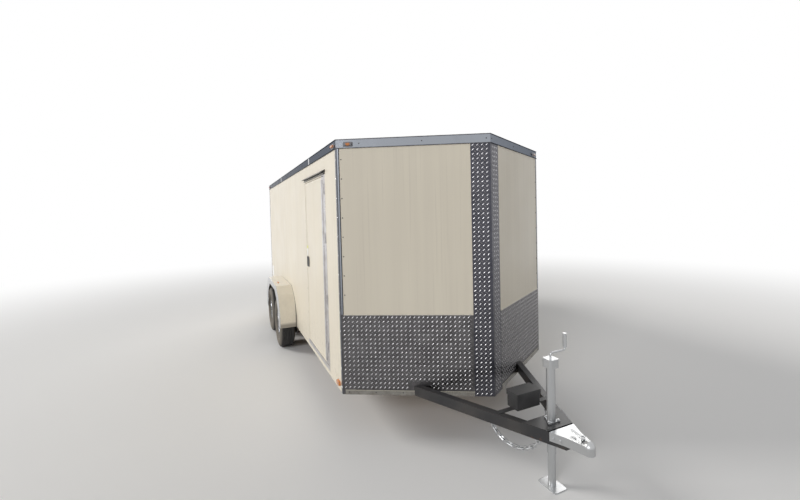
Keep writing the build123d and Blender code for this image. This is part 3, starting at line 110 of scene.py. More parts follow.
# Doors: thickness of the ramp leaf, width of the side door's frame, gauge of its leaf's edge, its hinges
RAMP_LEAF = 0.051
DOOR_FLANGE = 0.032
DOOR_EDGE = 0.0015
HINGE_SHARES = (0.1175, 0.358, 0.6695, 0.9155)

# Axles and tongue: the rails' tops, the ball's place in the coupler, and where the rails' middle lines meet
AXLE_SPACING = 0.864
TYRE_RADIUS = 0.344
AXLE_YS = (AXLE_MIDDLE - AXLE_SPACING / 2, AXLE_MIDDLE + AXLE_SPACING / 2)
RAIL_TOP = BODY_LOW + 0.076
TONGUE_ANGLE = radians(25.0)
BALL_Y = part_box("coupler")[0].y + 0.0358
TONGUE_APEX_Y = BALL_Y + 0.045


class Shape:
    """Points of a mesh with the quads and triangles that join them."""

    def __init__(self, points, quads=(), triangles=()):
        self.points = np.asarray(points, float).reshape(-1, 3)
        self.quads = np.asarray(quads, int).reshape(-1, 4)
        self.triangles = np.asarray(triangles, int).reshape(-1, 3)


def grid_quads(rows, columns, wrap_rows=False, wrap_columns=False):
    """Quads over a grid of points; a face looks along its columns' direction crossed with its rows'."""
    row, column = np.meshgrid(
        np.arange(rows if wrap_rows else rows - 1),
        np.arange(columns if wrap_columns else columns - 1),
        indexing="ij",
    )
    next_row = (row + 1) % rows
    next_column = (column + 1) % columns
    corners = (
        row * columns + column,
        row * columns + next_column,
        next_row * columns + next_column,
        next_row * columns + column,
    )
    return np.stack(corners, -1).reshape(-1, 4)


def fan(centre, ring, reverse=False):
    """Triangles from one point to a closed ring of points."""
    following = np.roll(ring, -1)
    pair = (following, ring) if reverse else (ring, following)
    return np.stack((np.full(len(ring), centre), *pair), -1)


def turned(profile, steps):
    """A profile of (radius, height) turned round local Z: point = (r cos a, r sin a, h), with two poles."""
    profile = np.asarray(profile, float)
    angle = np.arange(steps) * 2 * pi / steps
    radius, height = profile[:, :1], profile[:, 1:]
    rows = np.stack((radius * np.cos(angle), radius * np.sin(angle), height + 0 * angle), -1)
    count = len(profile)
    poles = np.array(((0, 0, profile[0, 1]), (0, 0, profile[-1, 1])))
    points = np.concatenate((rows.reshape(-1, 3), poles))
    first, last = np.arange(steps), np.arange(steps) + (count - 1) * steps
    ends = np.concatenate((fan(count * steps, first, reverse=True), fan(count * steps + 1, last)))
    return Shape(points, grid_quads(count, steps, wrap_columns=True), ends)


def carried(profile, path, side, closed=False, twist=0.0):
    """A closed profile of (a, b) carried along a path: point = path + a * n + b * m, where n is side made
    square to the path, m = path direction x n, and twist turns the profile by that angle a metre."""
    profile, path = np.asarray(profile, float), np.asarray(path, float)
    if closed:
        ahead = np.roll(path, -1, axis=0) - np.roll(path, 1, axis=0)
    else:
        ahead = np.gradient(path, axis=0)
    ahead /= np.linalg.norm(ahead, axis=1, keepdims=True)
    normal = np.broadcast_to(np.asarray(side, float), path.shape)
    normal = normal - (normal * ahead).sum(1, keepdims=True) * ahead
    normal = normal / np.linalg.norm(normal, axis=1, keepdims=True)
    across = np.cross(ahead, normal)
    run = np.concatenate(((0.0,), np.cumsum(np.linalg.norm(np.diff(path, axis=0), axis=1))))
    turn = twist * run[:, None]
    a = profile[:, 0] * np.cos(turn) - profile[:, 1] * np.sin(turn)
    b = profile[:, 0] * np.sin(turn) + profile[:, 1] * np.cos(turn)
    points = path[:, None] + a[..., None] * normal[:, None] + b[..., None] * across[:, None]
    rows, columns = len(path), len(profile)
    points = points.reshape(-1, 3)
    quads = grid_quads(rows, columns, wrap_rows=closed, wrap_columns=True)
    if closed:
        return Shape(points, quads)
    points = np.concatenate((points, path[:1], path[-1:]))
    first, last = np.arange(columns), np.arange(columns) + (rows - 1) * columns
    centre = rows * columns
    return Shape(points, quads, np.concatenate((fan(centre, first, reverse=True), fan(centre + 1, last))))


def ring_profile(radius, steps, squash=1.0):
    """A round section of (a, b) points: (r cos t, squash r sin t)."""
    angle = np.arange(steps) * 2 * pi / steps
    return np.stack((radius * np.cos(angle), squash * radius * np.sin(angle)), -1)


def flat_profile(width, gauge):
    """A rectangular section standing on its path: width across, gauge outwards along n."""
    return np.array(((0, -width / 2), (gauge, -width / 2), (gauge, width / 2), (0, width / 2)))


def rounded_loop(width, height, radius, corner_steps):
    """A closed rectangle in a plane, its corners quarter circles: (x, y) points, counterclockwise."""
    quarter = np.linspace(0, pi / 2, corner_steps)
    x, y = width / 2 - radius, height / 2 - radius
    corners = ((x, y, 0.0), (-x, y, pi / 2), (-x, -y, pi), (x, -y, 3 * pi / 2))
    return np.concatenate([
        np.stack((cx + radius * np.cos(quarter + start), cy + radius * np.sin(quarter + start)), -1)
        for cx, cy, start in corners
    ])


def in_plane(loop, centre, across, upwards):
    """A flat loop set in space: point = centre + x * across + y * upwards."""
    return np.asarray(centre) + loop[:, :1] * np.asarray(across) + loop[:, 1:] * np.asarray(upwards)


def flat_frame(outer, inner, centre, across, upwards, normal, gauge):
    """A flat ring between two loops with as many points, gauge thick along its normal, its corners mitred."""
    low = np.asarray(centre, float)
    high = low + np.asarray(normal) * gauge
    rows = [in_plane(loop, place, across, upwards)
            for loop, place in ((outer, low), (outer, high), (inner, high), (inner, low))]
    return Shape(np.concatenate(rows), grid_quads(4, len(outer), wrap_rows=True, wrap_columns=True))


def frames_for(normals, upwards=UP):
    """Right-handed axes for each normal: across = upwards x normal, then normal x across, then the normal."""
    normals = np.asarray(normals, float).reshape(-1, 3)
    normals = normals / np.linalg.norm(normals, axis=1, keepdims=True)
    across = np.cross(np.broadcast_to(upwards, normals.shape), normals)
    across /= np.linalg.norm(across, axis=1, keepdims=True)
    return np.stack((across, np.cross(normals, across), normals), 1)


def placed(shape, centres, axes):
    """Copies of a shape, one for each centre and its three axes."""
    centres = np.asarray(centres, float).reshape(-1, 3)
    axes = np.broadcast_to(axes, (len(centres), 3, 3))
    points = centres[:, None] + np.einsum("pk,nkj->npj", shape.points, axes)
    shift = (np.arange(len(centres)) * len(shape.points))[:, None, None]
    return Shape(points, shape.quads + shift, shape.triangles + shift)


def joined(shapes):
    """Several shapes as one."""
    counts = np.cumsum([0] + [len(shape.points) for shape in shapes])
    return Shape(
        np.concatenate([shape.points for shape in shapes]),
        np.concatenate([shape.quads + start for shape, start in zip(shapes, counts)]),
        np.concatenate([shape.triangles + start for shape, start in zip(shapes, counts)]),
    )


def give_values(piece, name, values):
    """Store a value on each of a piece's points, for its material."""
    piece.data.attributes.new(name, "FLOAT", "POINT").data.foreach_set("value", values.astype(np.float32))


MATERIALS = {}


def add_piece(name, shape, finish, body, smooth_angle):
    """Make a mesh of a shape, give it its finish by name and let it ride on a body."""
    mesh = bpy.data.meshes.new(name)
    quads, triangles = shape.quads, shape.triangles
    corners = np.concatenate((quads.ravel(), triangles.ravel()))
    mesh.vertices.add(len(shape.points))
    mesh.vertices.foreach_set("co", shape.points.astype(np.float32).ravel())
    mesh.loops.add(len(corners))
    mesh.loops.foreach_set("vertex_index", corners.astype(np.int32))
    mesh.polygons.add(len(quads) + len(triangles))
    starts = np.concatenate((np.arange(len(quads)) * 4, quads.size + np.arange(len(triangles)) * 3))
    mesh.polygons.foreach_set("loop_start", starts.astype(np.int32))
    mesh.polygons.foreach_set("use_smooth", np.ones(len(starts), bool))
    mesh.update(calc_edges=True)
    mesh.set_sharp_from_angle(angle=radians(smooth_angle))
    mesh.materials.append(MATERIALS[finish])
    piece = bpy.data.objects.new(name, mesh)
    bpy.context.scene.collection.objects.link(piece)
    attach(piece, body)
    return piece


def shade(colour, share):
    """A colour with each channel times a share."""
    return tuple(channel * share for channel in colour)


class Nodes:
    """The node tree of a new material, or of a world, built in a few plain steps."""

    def __init__(self, name, world=None):
        self.material = world or bpy.data.materials.new(name)
        self.material.use_nodes = True
        self.tree = self.material.node_tree
        self.shader = self.tree.nodes["Background" if world else "Principled BSDF"]
        self.place = self.tree.nodes.new("ShaderNodeTexCoord").outputs["Object"]

    def set(self, **values):
        """Set the shader's sockets by name, with underscores for spaces."""
        for socket, value in values.items():
            self.feed(self.shader.inputs[socket.replace("_", " ")], value)

    def feed(self, socket, value):
        """Link a socket to an output, or give it a number or colour."""
        if isinstance(value, bpy.types.NodeSocket):
            self.tree.links.new(value, socket)
        elif hasattr(value, "__len__") and len(value) == 3 and socket.type == "RGBA":
            socket.default_value = (*value, 1.0)
        else:
            socket.default_value = value

    def stretched(self, scale):
        """Object coordinates scaled along each axis."""
        mapping = self.tree.nodes.new("ShaderNodeMapping")
        mapping.inputs["Scale"].default_value = scale
        self.tree.links.new(self.place, mapping.inputs["Vector"])
        return mapping.outputs["Vector"]

    def noise(self, scale, detail=3.0, stretch=None, roughness=0.5):
        """Noise from 0 to 1, at a scale in cycles a metre."""
        node = self.tree.nodes.new("ShaderNodeTexNoise")
        node.inputs["Scale"].default_value = scale
        node.inputs["Detail"].default_value = detail
        node.inputs["Roughness"].default_value = roughness
        self.tree.links.new(self.stretched(stretch) if stretch else self.place, node.inputs["Vector"])
        return node.outputs["Fac"]

    def cells(self, scale):
        """Distance to the nearest of scattered points, at a scale in points a metre."""
        node = self.tree.nodes.new("ShaderNodeTexVoronoi")
        node.inputs["Scale"].default_value = scale
        self.tree.links.new(self.place, node.inputs["Vector"])
        return node.outputs["Distance"]

    def ramp(self, value, low, high, out_low=0.0, out_high=1.0):
        """A value mapped from one range to another and clamped."""
        node = self.tree.nodes.new("ShaderNodeMapRange")
        node.interpolation_type = "SMOOTHSTEP"
        self.feed(node.inputs["Value"], value)
        limits = {"From Min": low, "From Max": high, "To Min": out_low, "To Max": out_high}
        for socket, number in limits.items():
            node.inputs[socket].default_value = number
        return node.outputs["Result"]

    def math(self, operation, *values):
        """One arithmetic step."""
        node = self.tree.nodes.new("ShaderNodeMath")
        node.operation = operation
        for socket, value in zip(node.inputs, values):
            self.feed(socket, value)
        return node.outputs["Value"]

    def product(self, *values):
        """Several values multiplied."""
        result = values[0]
        for value in values[1:]:
            result = self.math("MULTIPLY", result, value)
        return result

    def mix(self, factor, first, second):
        """A colour between two."""
        node = self.tree.nodes.new("ShaderNodeMix")
        node.data_type = "RGBA"
        for socket, value in (("Factor", factor), (6, first), (7, second)):
            self.feed(node.inputs[socket], value)
        return node.outputs[2]

    def mottle(self, noise, colour, share, low=0.4, high=0.7, amount=1.0):
        """A colour that goes over to a share of itself as a noise passes from low to high."""
        return self.mix(self.ramp(noise, low, high, 0.0, amount), colour, shade(colour, share))

    def axes(self):
        """X, Y and Z of the object's own coordinates."""
        node = self.tree.nodes.new("ShaderNodeSeparateXYZ")
        self.tree.links.new(self.place, node.inputs["Vector"])
        return node.outputs[0], node.outputs[1], node.outputs[2]

    def attribute(self, name):
        """A value that the piece's own points carry."""
        node = self.tree.nodes.new("ShaderNodeAttribute")
        node.attribute_name = name
        return node.outputs["Fac"]

    def bump(self, height, distance, strength=1.0, below=None):
        """A bump of a height from 0 to 1 over a distance in metres, laid on another bump."""
        node = self.tree.nodes.new("ShaderNodeBump")
        node.inputs["Strength"].default_value = strength
        node.inputs["Distance"].default_value = distance
        self.feed(node.inputs["Height"], height)
        if below is not None:
            self.tree.links.new(below, node.inputs["Normal"])
        return node.outputs["Normal"]


def depth_inside(nodes):
    """How deep a point lies behind the body's outline, seen from above."""
    x, y, _ = nodes.axes()
    away = nodes.math("ABSOLUTE", x)
    from_side = nodes.math("SUBTRACT", HALF_WIDTH, away)
    along_x = nodes.math("MULTIPLY", away, NOSE_DEPTH / NOSE_LENGTH)
    along_y = nodes.math("MULTIPLY", y, HALF_WIDTH / NOSE_LENGTH)
    corner = (HALF_WIDTH * NOSE_DEPTH - FRONT_Y * HALF_WIDTH) / NOSE_LENGTH
    from_nose = nodes.math("SUBTRACT", nodes.math("ADD", along_y, corner), along_x)
    from_rear = nodes.math("SUBTRACT", REAR_Y, y)
    return nodes.math("MINIMUM", nodes.math("MINIMUM", from_side, from_nose), from_rear)


def along_nose(nodes):
    """How far a point lies along its nose wall from the corner with the side; negative on the side walls."""
    x, y, _ = nodes.axes()
    from_side = nodes.math("SUBTRACT", HALF_WIDTH, nodes.math("ABSOLUTE", x))
    from_front = nodes.math("SUBTRACT", FRONT_Y, y)
    return nodes.math("ADD", nodes.math("MULTIPLY", from_side, HALF_WIDTH / NOSE_LENGTH),
                      nodes.math("MULTIPLY", from_front, NOSE_DEPTH / NOSE_LENGTH))


def plywood_colour(nodes, light, dark, upright_ends=False):
    """Veneer grain along the trailer, and upright on the nose and the ramp if asked, with slow changes of
    tone, darker where boots and loads have rubbed."""
    grain = nodes.noise(9.0, detail=6.0, stretch=(5.0, 0.35, 5.0), roughness=0.62)
    if upright_ends:
        _, y, _ = nodes.axes()
        at_end = nodes.math("MAXIMUM", nodes.math("LESS_THAN", y, FRONT_Y),
                            nodes.math("GREATER_THAN", y, REAR_Y - RAMP_LEAF))
        upright = nodes.noise(9.0, detail=6.0, stretch=(5.0, 5.0, 0.35), roughness=0.62)
        grain = nodes.math("ADD", nodes.product(at_end, upright),
                           nodes.product(nodes.math("SUBTRACT", 1.0, at_end), grain))
    tone = nodes.mix(nodes.ramp(grain, 0.32, 0.7), light, dark)
    wear = nodes.ramp(nodes.noise(1.6, detail=4.0), 0.48, 0.72, 0.0, 0.35)
    return nodes.mix(wear, tone, shade(dark, 0.6))


def skin_paint(settings):
    """Cream paint on a bonded skin: faint rain streaks, a little road film low down, and plywood inside."""
    nodes = Nodes("skin_paint")
    _, _, z = nodes.axes()
    streaks = nodes.noise(12.0, detail=3.0, stretch=(1.0, 1.0, 0.03))
    runs = nodes.noise(75.0, detail=2.0, stretch=(1.0, 1.0, 0.012))
    slow = nodes.noise(0.9, detail=2.0)
    paint = nodes.mix(nodes.ramp(streaks, 0.35, 0.75, 0.0, 0.3), settings.skin, settings.skin_streak)
    paint = nodes.mix(nodes.ramp(runs, 0.56, 0.74, 0.0, 0.45), paint, settings.skin_streak)
    paint = nodes.mix(nodes.ramp(slow, 0.3, 0.7, 0.0, 0.25), paint, settings.skin_streak)
    specks = nodes.ramp(nodes.noise(95.0, detail=2.0), 0.80, 0.86, 0.0, 0.6)
    paint = nodes.mix(specks, paint, settings.road_film)
    splash = nodes.ramp(z, BODY_LOW + 0.02, BODY_LOW + 0.55, 1.0, 0.0)
    grit = nodes.ramp(nodes.noise(26.0, detail=6.0, roughness=0.7), 0.45, 0.75)
    paint = nodes.mix(nodes.product(splash, grit, 0.35), paint, settings.road_film)
    inside = nodes.product(nodes.math("GREATER_THAN", depth_inside(nodes), INSIDE_DEPTH),
                           nodes.math("GREATER_THAN", z, DECK_BOTTOM + 0.001))
    lining = plywood_colour(nodes, settings.plywood, settings.plywood_dark, upright_ends=True)
    gloss = nodes.ramp(nodes.noise(3.0, detail=3.0), 0.3, 0.7, 0.30, 0.40)
    rough = nodes.math("ADD", nodes.product(inside, 0.3), gloss)
    waves = nodes.noise(2.2, detail=2.0, stretch=(1.0, 1.0, 0.12))
    relief = nodes.bump(nodes.noise(900.0, detail=1.0), 0.00005, 0.6, below=nodes.bump(waves, 0.004, 0.35))
    nodes.set(Base_Color=nodes.mix(inside, paint, lining), Roughness=rough, Normal=relief,
              Specular_IOR_Level=0.3)
    return nodes.material


def polished_aluminium(settings):
    """Rolled and polished aluminium with drawn lines, handling marks and dull patches."""
    nodes = Nodes("polished_aluminium")
    drawn = nodes.noise(60.0, detail=4.0, stretch=(1.0, 0.06, 1.0))
    dull = nodes.noise(5.0, detail=5.0, roughness=0.65)
    rough = nodes.math("ADD", nodes.ramp(drawn, 0.3, 0.7, 0.0, 0.1), nodes.ramp(dull, 0.35, 0.75, 0.16, 0.3))
    nodes.set(Base_Color=nodes.mottle(dull, settings.trim_metal, 0.72, amount=0.5), Metallic=1.0,
              Roughness=rough, Normal=nodes.bump(nodes.noise(7.0, detail=2.0), 0.002, 0.3))
    return nodes.material


def plate_tone(nodes, settings):
    """Weathered tread plate between its bars, stained in patches."""
    return nodes.mottle(nodes.noise(11.0, detail=6.0, roughness=0.7), settings.tread_metal, 0.6, low=0.35)


def set_plate(nodes, tone):
    """The sheen and the slight waves of tread plate, in a tone."""
    rough = nodes.ramp(nodes.noise(40.0, detail=4.0), 0.3, 0.7, 0.24, 0.4)
    nodes.set(Base_Color=tone, Metallic=1.0, Roughness=rough,
              Normal=nodes.bump(nodes.noise(5.0, detail=2.0), 0.003, 0.5))
    return nodes.material


def tread_aluminium(settings):
    """The flat of the nose strip's tread plate, darkened and tinted a little blue as painted shade and sky
    reflection.
    """
    nodes = Nodes("tread_aluminium")
    # Half-way towards a dark blue: painted shade and painted sky reflection
    return set_plate(nodes, nodes.mix(0.5, plate_tone(nodes, settings), (0.03, 0.035, 0.06)))


def guard_aluminium(settings):
    """The stone guards: tread plate with a duller rail along the bottom, a painted highlight on the rail's
    top lip and a thin painted highlight along the top edge.
    """
    nodes = Nodes("guard_aluminium")
    rail_light, rail_dark = (0.33, 0.32, 0.295), (0.24, 0.225, 0.205)
    lip_highlight, cap_highlight = (0.46, 0.44, 0.38), (0.66, 0.63, 0.56)
    _, _, z = nodes.axes()
    rail_top = BODY_LOW + GUARD_RAIL
    dust = nodes.noise(14.0, detail=5.0, roughness=0.65)
    rail_tone = nodes.mix(nodes.ramp(dust, 0.35, 0.7), rail_light, rail_dark)
    # Painted highlight along the rail's top lip
    rail_tone = nodes.mix(nodes.ramp(z, rail_top - 0.009, rail_top - 0.005), rail_tone, lip_highlight)
    tone = nodes.mix(nodes.math("LESS_THAN", z, rail_top - 0.0005), plate_tone(nodes, settings), rail_tone)
    # Painted highlight along the guard's top edge
    return set_plate(nodes, nodes.mix(nodes.ramp(z, GUARD_TOP - 0.0065, GUARD_TOP - 0.0045), tone, cap_highlight))


def corner_aluminium(settings):
    """The corner trims: painted shade in the groove round the corner, a bright bead, and a thin line of
    painted shade in the groove at the nose wall. Below the guards' top the trim is tread plate."""
    nodes = Nodes("corner_aluminium")
    _, y, z = nodes.axes()
    along = along_nose(nodes)
    dull = nodes.noise(8.0, detail=5.0, roughness=0.65)
    metal = nodes.mottle(dull, settings.trim_metal, 0.7, amount=0.5)
    in_front = nodes.math("LESS_THAN", y, FRONT_Y + 0.1)
    rim = nodes.math("GREATER_THAN", y, FRONT_Y + CORNER_SIDE_LEG - 0.006)
    # Painted shade in the groove round the corner, darker and less metallic than the trim
    groove_shade = nodes.product(in_front, nodes.ramp(along, 0.006, 0.009, 1.0, 0.0),
                           nodes.math("SUBTRACT", 1.0, rim))
    tone = nodes.mix(groove_shade, metal, (0.085, 0.09, 0.105))
    # A thin line of painted shade in the groove where the trim meets the nose wall
    tone = nodes.mix(nodes.ramp(along, 0.0175, 0.0195), tone, (0.03, 0.03, 0.035))
    plated = nodes.product(nodes.math("LESS_THAN", z, GUARD_TOP), nodes.math("GREATER_THAN", along, 0.006))
    tone = nodes.mix(plated, tone, plate_tone(nodes, settings))
    nodes.set(Base_Color=tone, Metallic=nodes.math("SUBTRACT", 1.0, nodes.product(groove_shade, 0.5)),
              Roughness=nodes.ramp(dull, 0.3, 0.7, 0.18, 0.34),
              Normal=nodes.bump(nodes.noise(7.0, detail=2.0), 0.002, 0.3))
    return nodes.material


def skirt_aluminium(settings):
    """The fenders' bright outer faces: mirror polished, with light and dark streaks of painted reflection and
    wipe marks, and road dirt at the bottom.
    """
    nodes = Nodes("skirt_aluminium")
    _, _, z = nodes.axes()
    wipes_and_reflection = nodes.noise(6.0, detail=5.0, stretch=(1.0, 1.0, 0.5), roughness=0.6)
    # Light and dark streaks: painted reflection and wipe marks
    tone = nodes.mix(nodes.ramp(wipes_and_reflection, 0.42, 0.72, 0.0, 0.7), settings.rim_metal,
                     shade(settings.trim_metal, 1.1))
    dirt = nodes.product(nodes.ramp(z, 0.34, 0.55, 0.7, 0.0), nodes.ramp(nodes.noise(45.0), 0.45, 0.75))
    nodes.set(Base_Color=nodes.mix(dirt, tone, settings.road_film), Metallic=1.0,
              Roughness=nodes.ramp(wipes_and_reflection, 0.3, 0.7, 0.05, 0.15),
              Normal=nodes.bump(nodes.noise(5.0, detail=1.0), 0.002, 0.35))
    return nodes.material


def fender_paint(settings):
    """The fenders' cream gloss paint, with painted shade in the gap along the wall, wider towards the bottom,
    and a painted reflection of the ground darkening the rolled lip at the bottom.
    """
    nodes = Nodes("fender_paint")
    grime_and_reflection, gap_shade = (0.20, 0.18, 0.15), (0.075, 0.07, 0.065)
    x, _, z = nodes.axes()
    mottle = nodes.noise(12.0, detail=4.0, roughness=0.6)
    paint = nodes.mix(nodes.ramp(mottle, 0.4, 0.75, 0.0, 0.35), settings.skin, settings.skin_streak)
    # Painted reflection of the ground: the rolled lip goes darker towards the bottom
    lip = nodes.ramp(z, FENDER_BOTTOM + 0.030, FENDER_BOTTOM + 0.075, 0.75, 0.0)
    paint = nodes.mix(lip, paint, grime_and_reflection)
    grit = nodes.product(nodes.ramp(z, FENDER_BOTTOM, FENDER_BOTTOM + 0.4, 0.5, 0.0),
                         nodes.ramp(nodes.noise(60.0, detail=5.0, roughness=0.7), 0.5, 0.75))
    paint = nodes.mix(grit, paint, settings.road_film)
    # Painted shade in the gap between fender and wall, wider towards the bottom
    seam_width = nodes.ramp(z, FENDER_BOTTOM, FENDER_BOTTOM + 0.42, 0.013, 0.003)
    from_wall = nodes.math("SUBTRACT", nodes.math("ABSOLUTE", x), HALF_WIDTH)
    nodes.set(Base_Color=nodes.mix(nodes.math("LESS_THAN", from_wall, seam_width), paint, gap_shade),
              Roughness=nodes.ramp(mottle, 0.3, 0.7, 0.18, 0.26), Coat_Weight=0.5, Coat_Roughness=0.05)
    return nodes.material


def bar_aluminium(settings):
    """The raised bars: the same metal, with a painted highlight on the bars that lean one way and darker on
    the rest.
    """
    nodes = Nodes("bar_aluminium")
    rub = nodes.noise(70.0, detail=3.0)
    bright = nodes.mottle(rub, settings.bar_metal, 0.75, low=0.3)
    dull = nodes.mix(nodes.ramp(rub, 0.3, 0.7), shade(settings.tread_metal, 1.7), settings.tread_metal)
    # Each point's value picks the bars' painted highlight or their darker, unlit tone
    nodes.set(Base_Color=nodes.mix(nodes.attribute("lit_bars"), dull, bright), Metallic=1.0,
              Roughness=nodes.ramp(rub, 0.3, 0.75, 0.14, 0.28))
    return nodes.material


def top_trim_aluminium(settings):
    """The top trim: polished, with painted shade under its drip lip and along its top bead, made uneven by
    grime.
    """
    nodes = Nodes("top_trim_aluminium")
    _, _, z = nodes.axes()
    dull = nodes.noise(5.0, detail=5.0, roughness=0.65)
    clean = nodes.mottle(dull, settings.trim_metal, 0.75, amount=0.4)
    grit = nodes.ramp(nodes.noise(45.0, detail=4.0), 0.3, 0.7, 0.6, 1.0)
    lip = nodes.ramp(z, TRIM_BOTTOM + 0.0045, TRIM_BOTTOM + 0.0075, 1.0, 0.0)
    bead = nodes.ramp(z, BODY_HIGH - 0.0075, BODY_HIGH - 0.0045)
    on_outer_face = nodes.math("LESS_THAN", depth_inside(nodes), -0.0012)
    # Painted shade under the drip lip and along the top bead, broken up by grit
    lip_and_bead_shade = nodes.product(nodes.math("MAXIMUM", lip, bead), grit, on_outer_face)
    nodes.set(Base_Color=nodes.mix(lip_and_bead_shade, clean, (0.06, 0.055, 0.06)), Metallic=1.0,
              Roughness=nodes.ramp(dull, 0.35, 0.75, 0.14, 0.28), Specular_Tint=(0.30, 0.31, 0.33),
              Normal=nodes.bump(nodes.noise(6.0, detail=2.0, stretch=(1.0, 1.0, 0.3)), 0.003, 0.4))
    return nodes.material


def door_edge_finish(settings):
    """The side door's frame and edges: bare aluminium at the hinges and the sill, a dark top, else cream."""
    nodes = Nodes("door_edge_finish")
    _, y, z = nodes.axes()
    bare = nodes.math("MAXIMUM", nodes.math("LESS_THAN", y, DOOR_LOW.y + 0.094),
                      nodes.math("LESS_THAN", z, DOOR_LOW.z - 0.001))
    dull = nodes.noise(9.0, detail=5.0, roughness=0.65)
    metal = nodes.mix(nodes.ramp(dull, 0.35, 0.7), (0.68, 0.67, 0.68), (0.52, 0.50, 0.49))
    top_flange = nodes.math("GREATER_THAN", z, DOOR_FRAME_HIGH.z - 0.020)
    cream = nodes.mix(nodes.ramp(dull, 0.35, 0.7, 0.0, 0.4), settings.skin, settings.skin_streak)
    tone = nodes.mix(top_flange, nodes.mix(bare, cream, metal), settings.rubber)
    shiny = nodes.product(bare, nodes.math("SUBTRACT", 0.9, nodes.product(top_flange, 0.9)))
    nodes.set(Base_Color=tone, Metallic=shiny, Roughness=nodes.ramp(dull, 0.3, 0.7, 0.26, 0.42))
    return nodes.material


def cap_plastic(settings):
    """The drip cap: grey with dust, with a clean black end towards the front."""
    nodes = Nodes("cap_plastic")
    _, y, _ = nodes.axes()
    dust = nodes.noise(22.0, detail=5.0, roughness=0.65)
    tone = nodes.mix(nodes.ramp(dust, 0.25, 0.7), (0.33, 0.325, 0.31), (0.22, 0.215, 0.205))
    end = nodes.ramp(y, DOOR_FRAME_LOW.y + 0.055, DOOR_FRAME_LOW.y + 0.075, 1.0, 0.0)
    nodes.set(Base_Color=nodes.mix(end, tone, settings.rubber), Roughness=0.5,
              Normal=nodes.bump(dust, 0.0004, 0.4))
    return nodes.material


def roof_aluminium(settings):
    """Mill-finish roof sheet with a chalky bloom and specks of grime."""
    nodes = Nodes("roof_aluminium")
    bloom = nodes.noise(2.4, detail=6.0, roughness=0.65)
    tone = nodes.mottle(bloom, settings.roof_metal, 0.88, low=0.3, high=0.75)
    grime_and_reflection = nodes.ramp(nodes.noise(55.0, detail=5.0, roughness=0.7), 0.5, 0.75, 0.0, 0.45)
    nodes.set(Base_Color=nodes.mix(grime_and_reflection, tone, settings.road_film), Metallic=0.6,
              Roughness=nodes.ramp(bloom, 0.3, 0.75, 0.50, 0.58), Specular_Tint=(0.45, 0.46, 0.48),
              Normal=nodes.bump(nodes.noise(1.7, detail=2.0, stretch=(1.0, 0.4, 1.0)), 0.01, 0.25))
    return nodes.material


def rusting_steel(name, paint, rust, amount, gloss):
    """Paint or plating over steel, with rust in blotches and specks and a film of dust."""
    nodes = Nodes(name)
    patches = nodes.noise(7.0, detail=8.0, roughness=0.72)
    specks = nodes.noise(90.0, detail=4.0, roughness=0.6)
    eaten = nodes.product(nodes.ramp(patches, 0.62 - amount, 0.78 - amount),
                          nodes.ramp(specks, 0.3, 0.55, 0.45, 1.0))
    brown = nodes.mottle(specks, rust, 0.45, low=0.35)
    dust = nodes.ramp(nodes.noise(3.0, detail=3.0), 0.35, 0.75, 0.0, 0.12)
    base = nodes.mix(dust, nodes.mix(eaten, paint, brown), (0.32, 0.28, 0.23))
    rough = nodes.math("ADD", nodes.product(eaten, 0.4), gloss)
    nodes.set(Base_Color=base, Roughness=rough, Normal=nodes.bump(eaten, 0.0006, 0.5))
    return nodes


def frame_steel(settings):
    """Black chassis paint, rusting where stones have chipped it."""
    return rusting_steel("frame_steel", settings.frame_paint, settings.rust, 0.03, 0.42).material


def spring_steel(settings):
    """Springs and their hangers, mostly brown with rust."""
    return rusting_steel("spring_steel", settings.frame_paint, settings.rust, 0.16, 0.5).material


def zinc_steel(settings):
    """Zinc plating with its crystal spangle, dulled and a little rusty."""
    nodes = rusting_steel("zinc_steel", settings.zinc, settings.rust, -0.06, 0.3)
    nodes.set(Metallic=0.75, Normal=nodes.bump(nodes.cells(110.0), 0.0003, 0.35))
    return nodes.material


def drum_iron(settings):
    """Brake drum and hub castings: grainy dark iron with brown edges."""
    nodes = rusting_steel("drum_iron", settings.iron, settings.rust, 0.06, 0.55)
    nodes.set(Normal=nodes.bump(nodes.noise(350.0, detail=3.0), 0.0005, 0.6))
    return nodes.material


def bright_rim(settings):
    """Bright wheel: smooth plated steel with brake dust in the hollows."""
    nodes = Nodes("bright_rim")
    dust = nodes.noise(30.0, detail=5.0, roughness=0.7)
    tone = nodes.mix(nodes.ramp(dust, 0.45, 0.75, 0.0, 0.6), settings.rim_metal, (0.20, 0.17, 0.14))
    nodes.set(Base_Color=tone, Metallic=1.0, Roughness=nodes.ramp(dust, 0.35, 0.7, 0.12, 0.34))
    return nodes.material


def tyre_rubber(settings):
    """Road rubber: near black on the tread, under a film of tan dust on the sidewalls, with a fine grain. The
    tyre's own points say how dusty each ring of it is, less in the rib grooves as painted shade."""
    nodes = Nodes("tyre_rubber")
    dust = nodes.noise(16.0, detail=6.0, roughness=0.7)
    film = nodes.product(nodes.attribute("dust"), nodes.ramp(dust, 0.3, 0.7, 0.5, 1.0))
    nodes.set(Base_Color=nodes.mix(film, settings.rubber, settings.tyre_dust),
              Roughness=nodes.ramp(dust, 0.3, 0.7, 0.6, 0.82),
              Normal=nodes.bump(nodes.noise(420.0, detail=3.0), 0.0003, 0.5))
    return nodes.material


def moulded_plastic(name, colour, roughness):
    """Moulded plastic or rubber with a fine grain and a little bleaching."""
    nodes = Nodes(name)
    bleach = nodes.noise(8.0, detail=5.0, roughness=0.6)
    pale = tuple(min(1.0, channel * 1.25 + 0.015) for channel in colour)
    nodes.set(Base_Color=nodes.mix(nodes.ramp(bleach, 0.35, 0.75), colour, pale),
              Roughness=nodes.ramp(bleach, 0.3, 0.7, roughness - 0.06, roughness + 0.08),
              Normal=nodes.bump(nodes.noise(700.0, detail=2.0), 0.0001, 0.5))
    return nodes.material


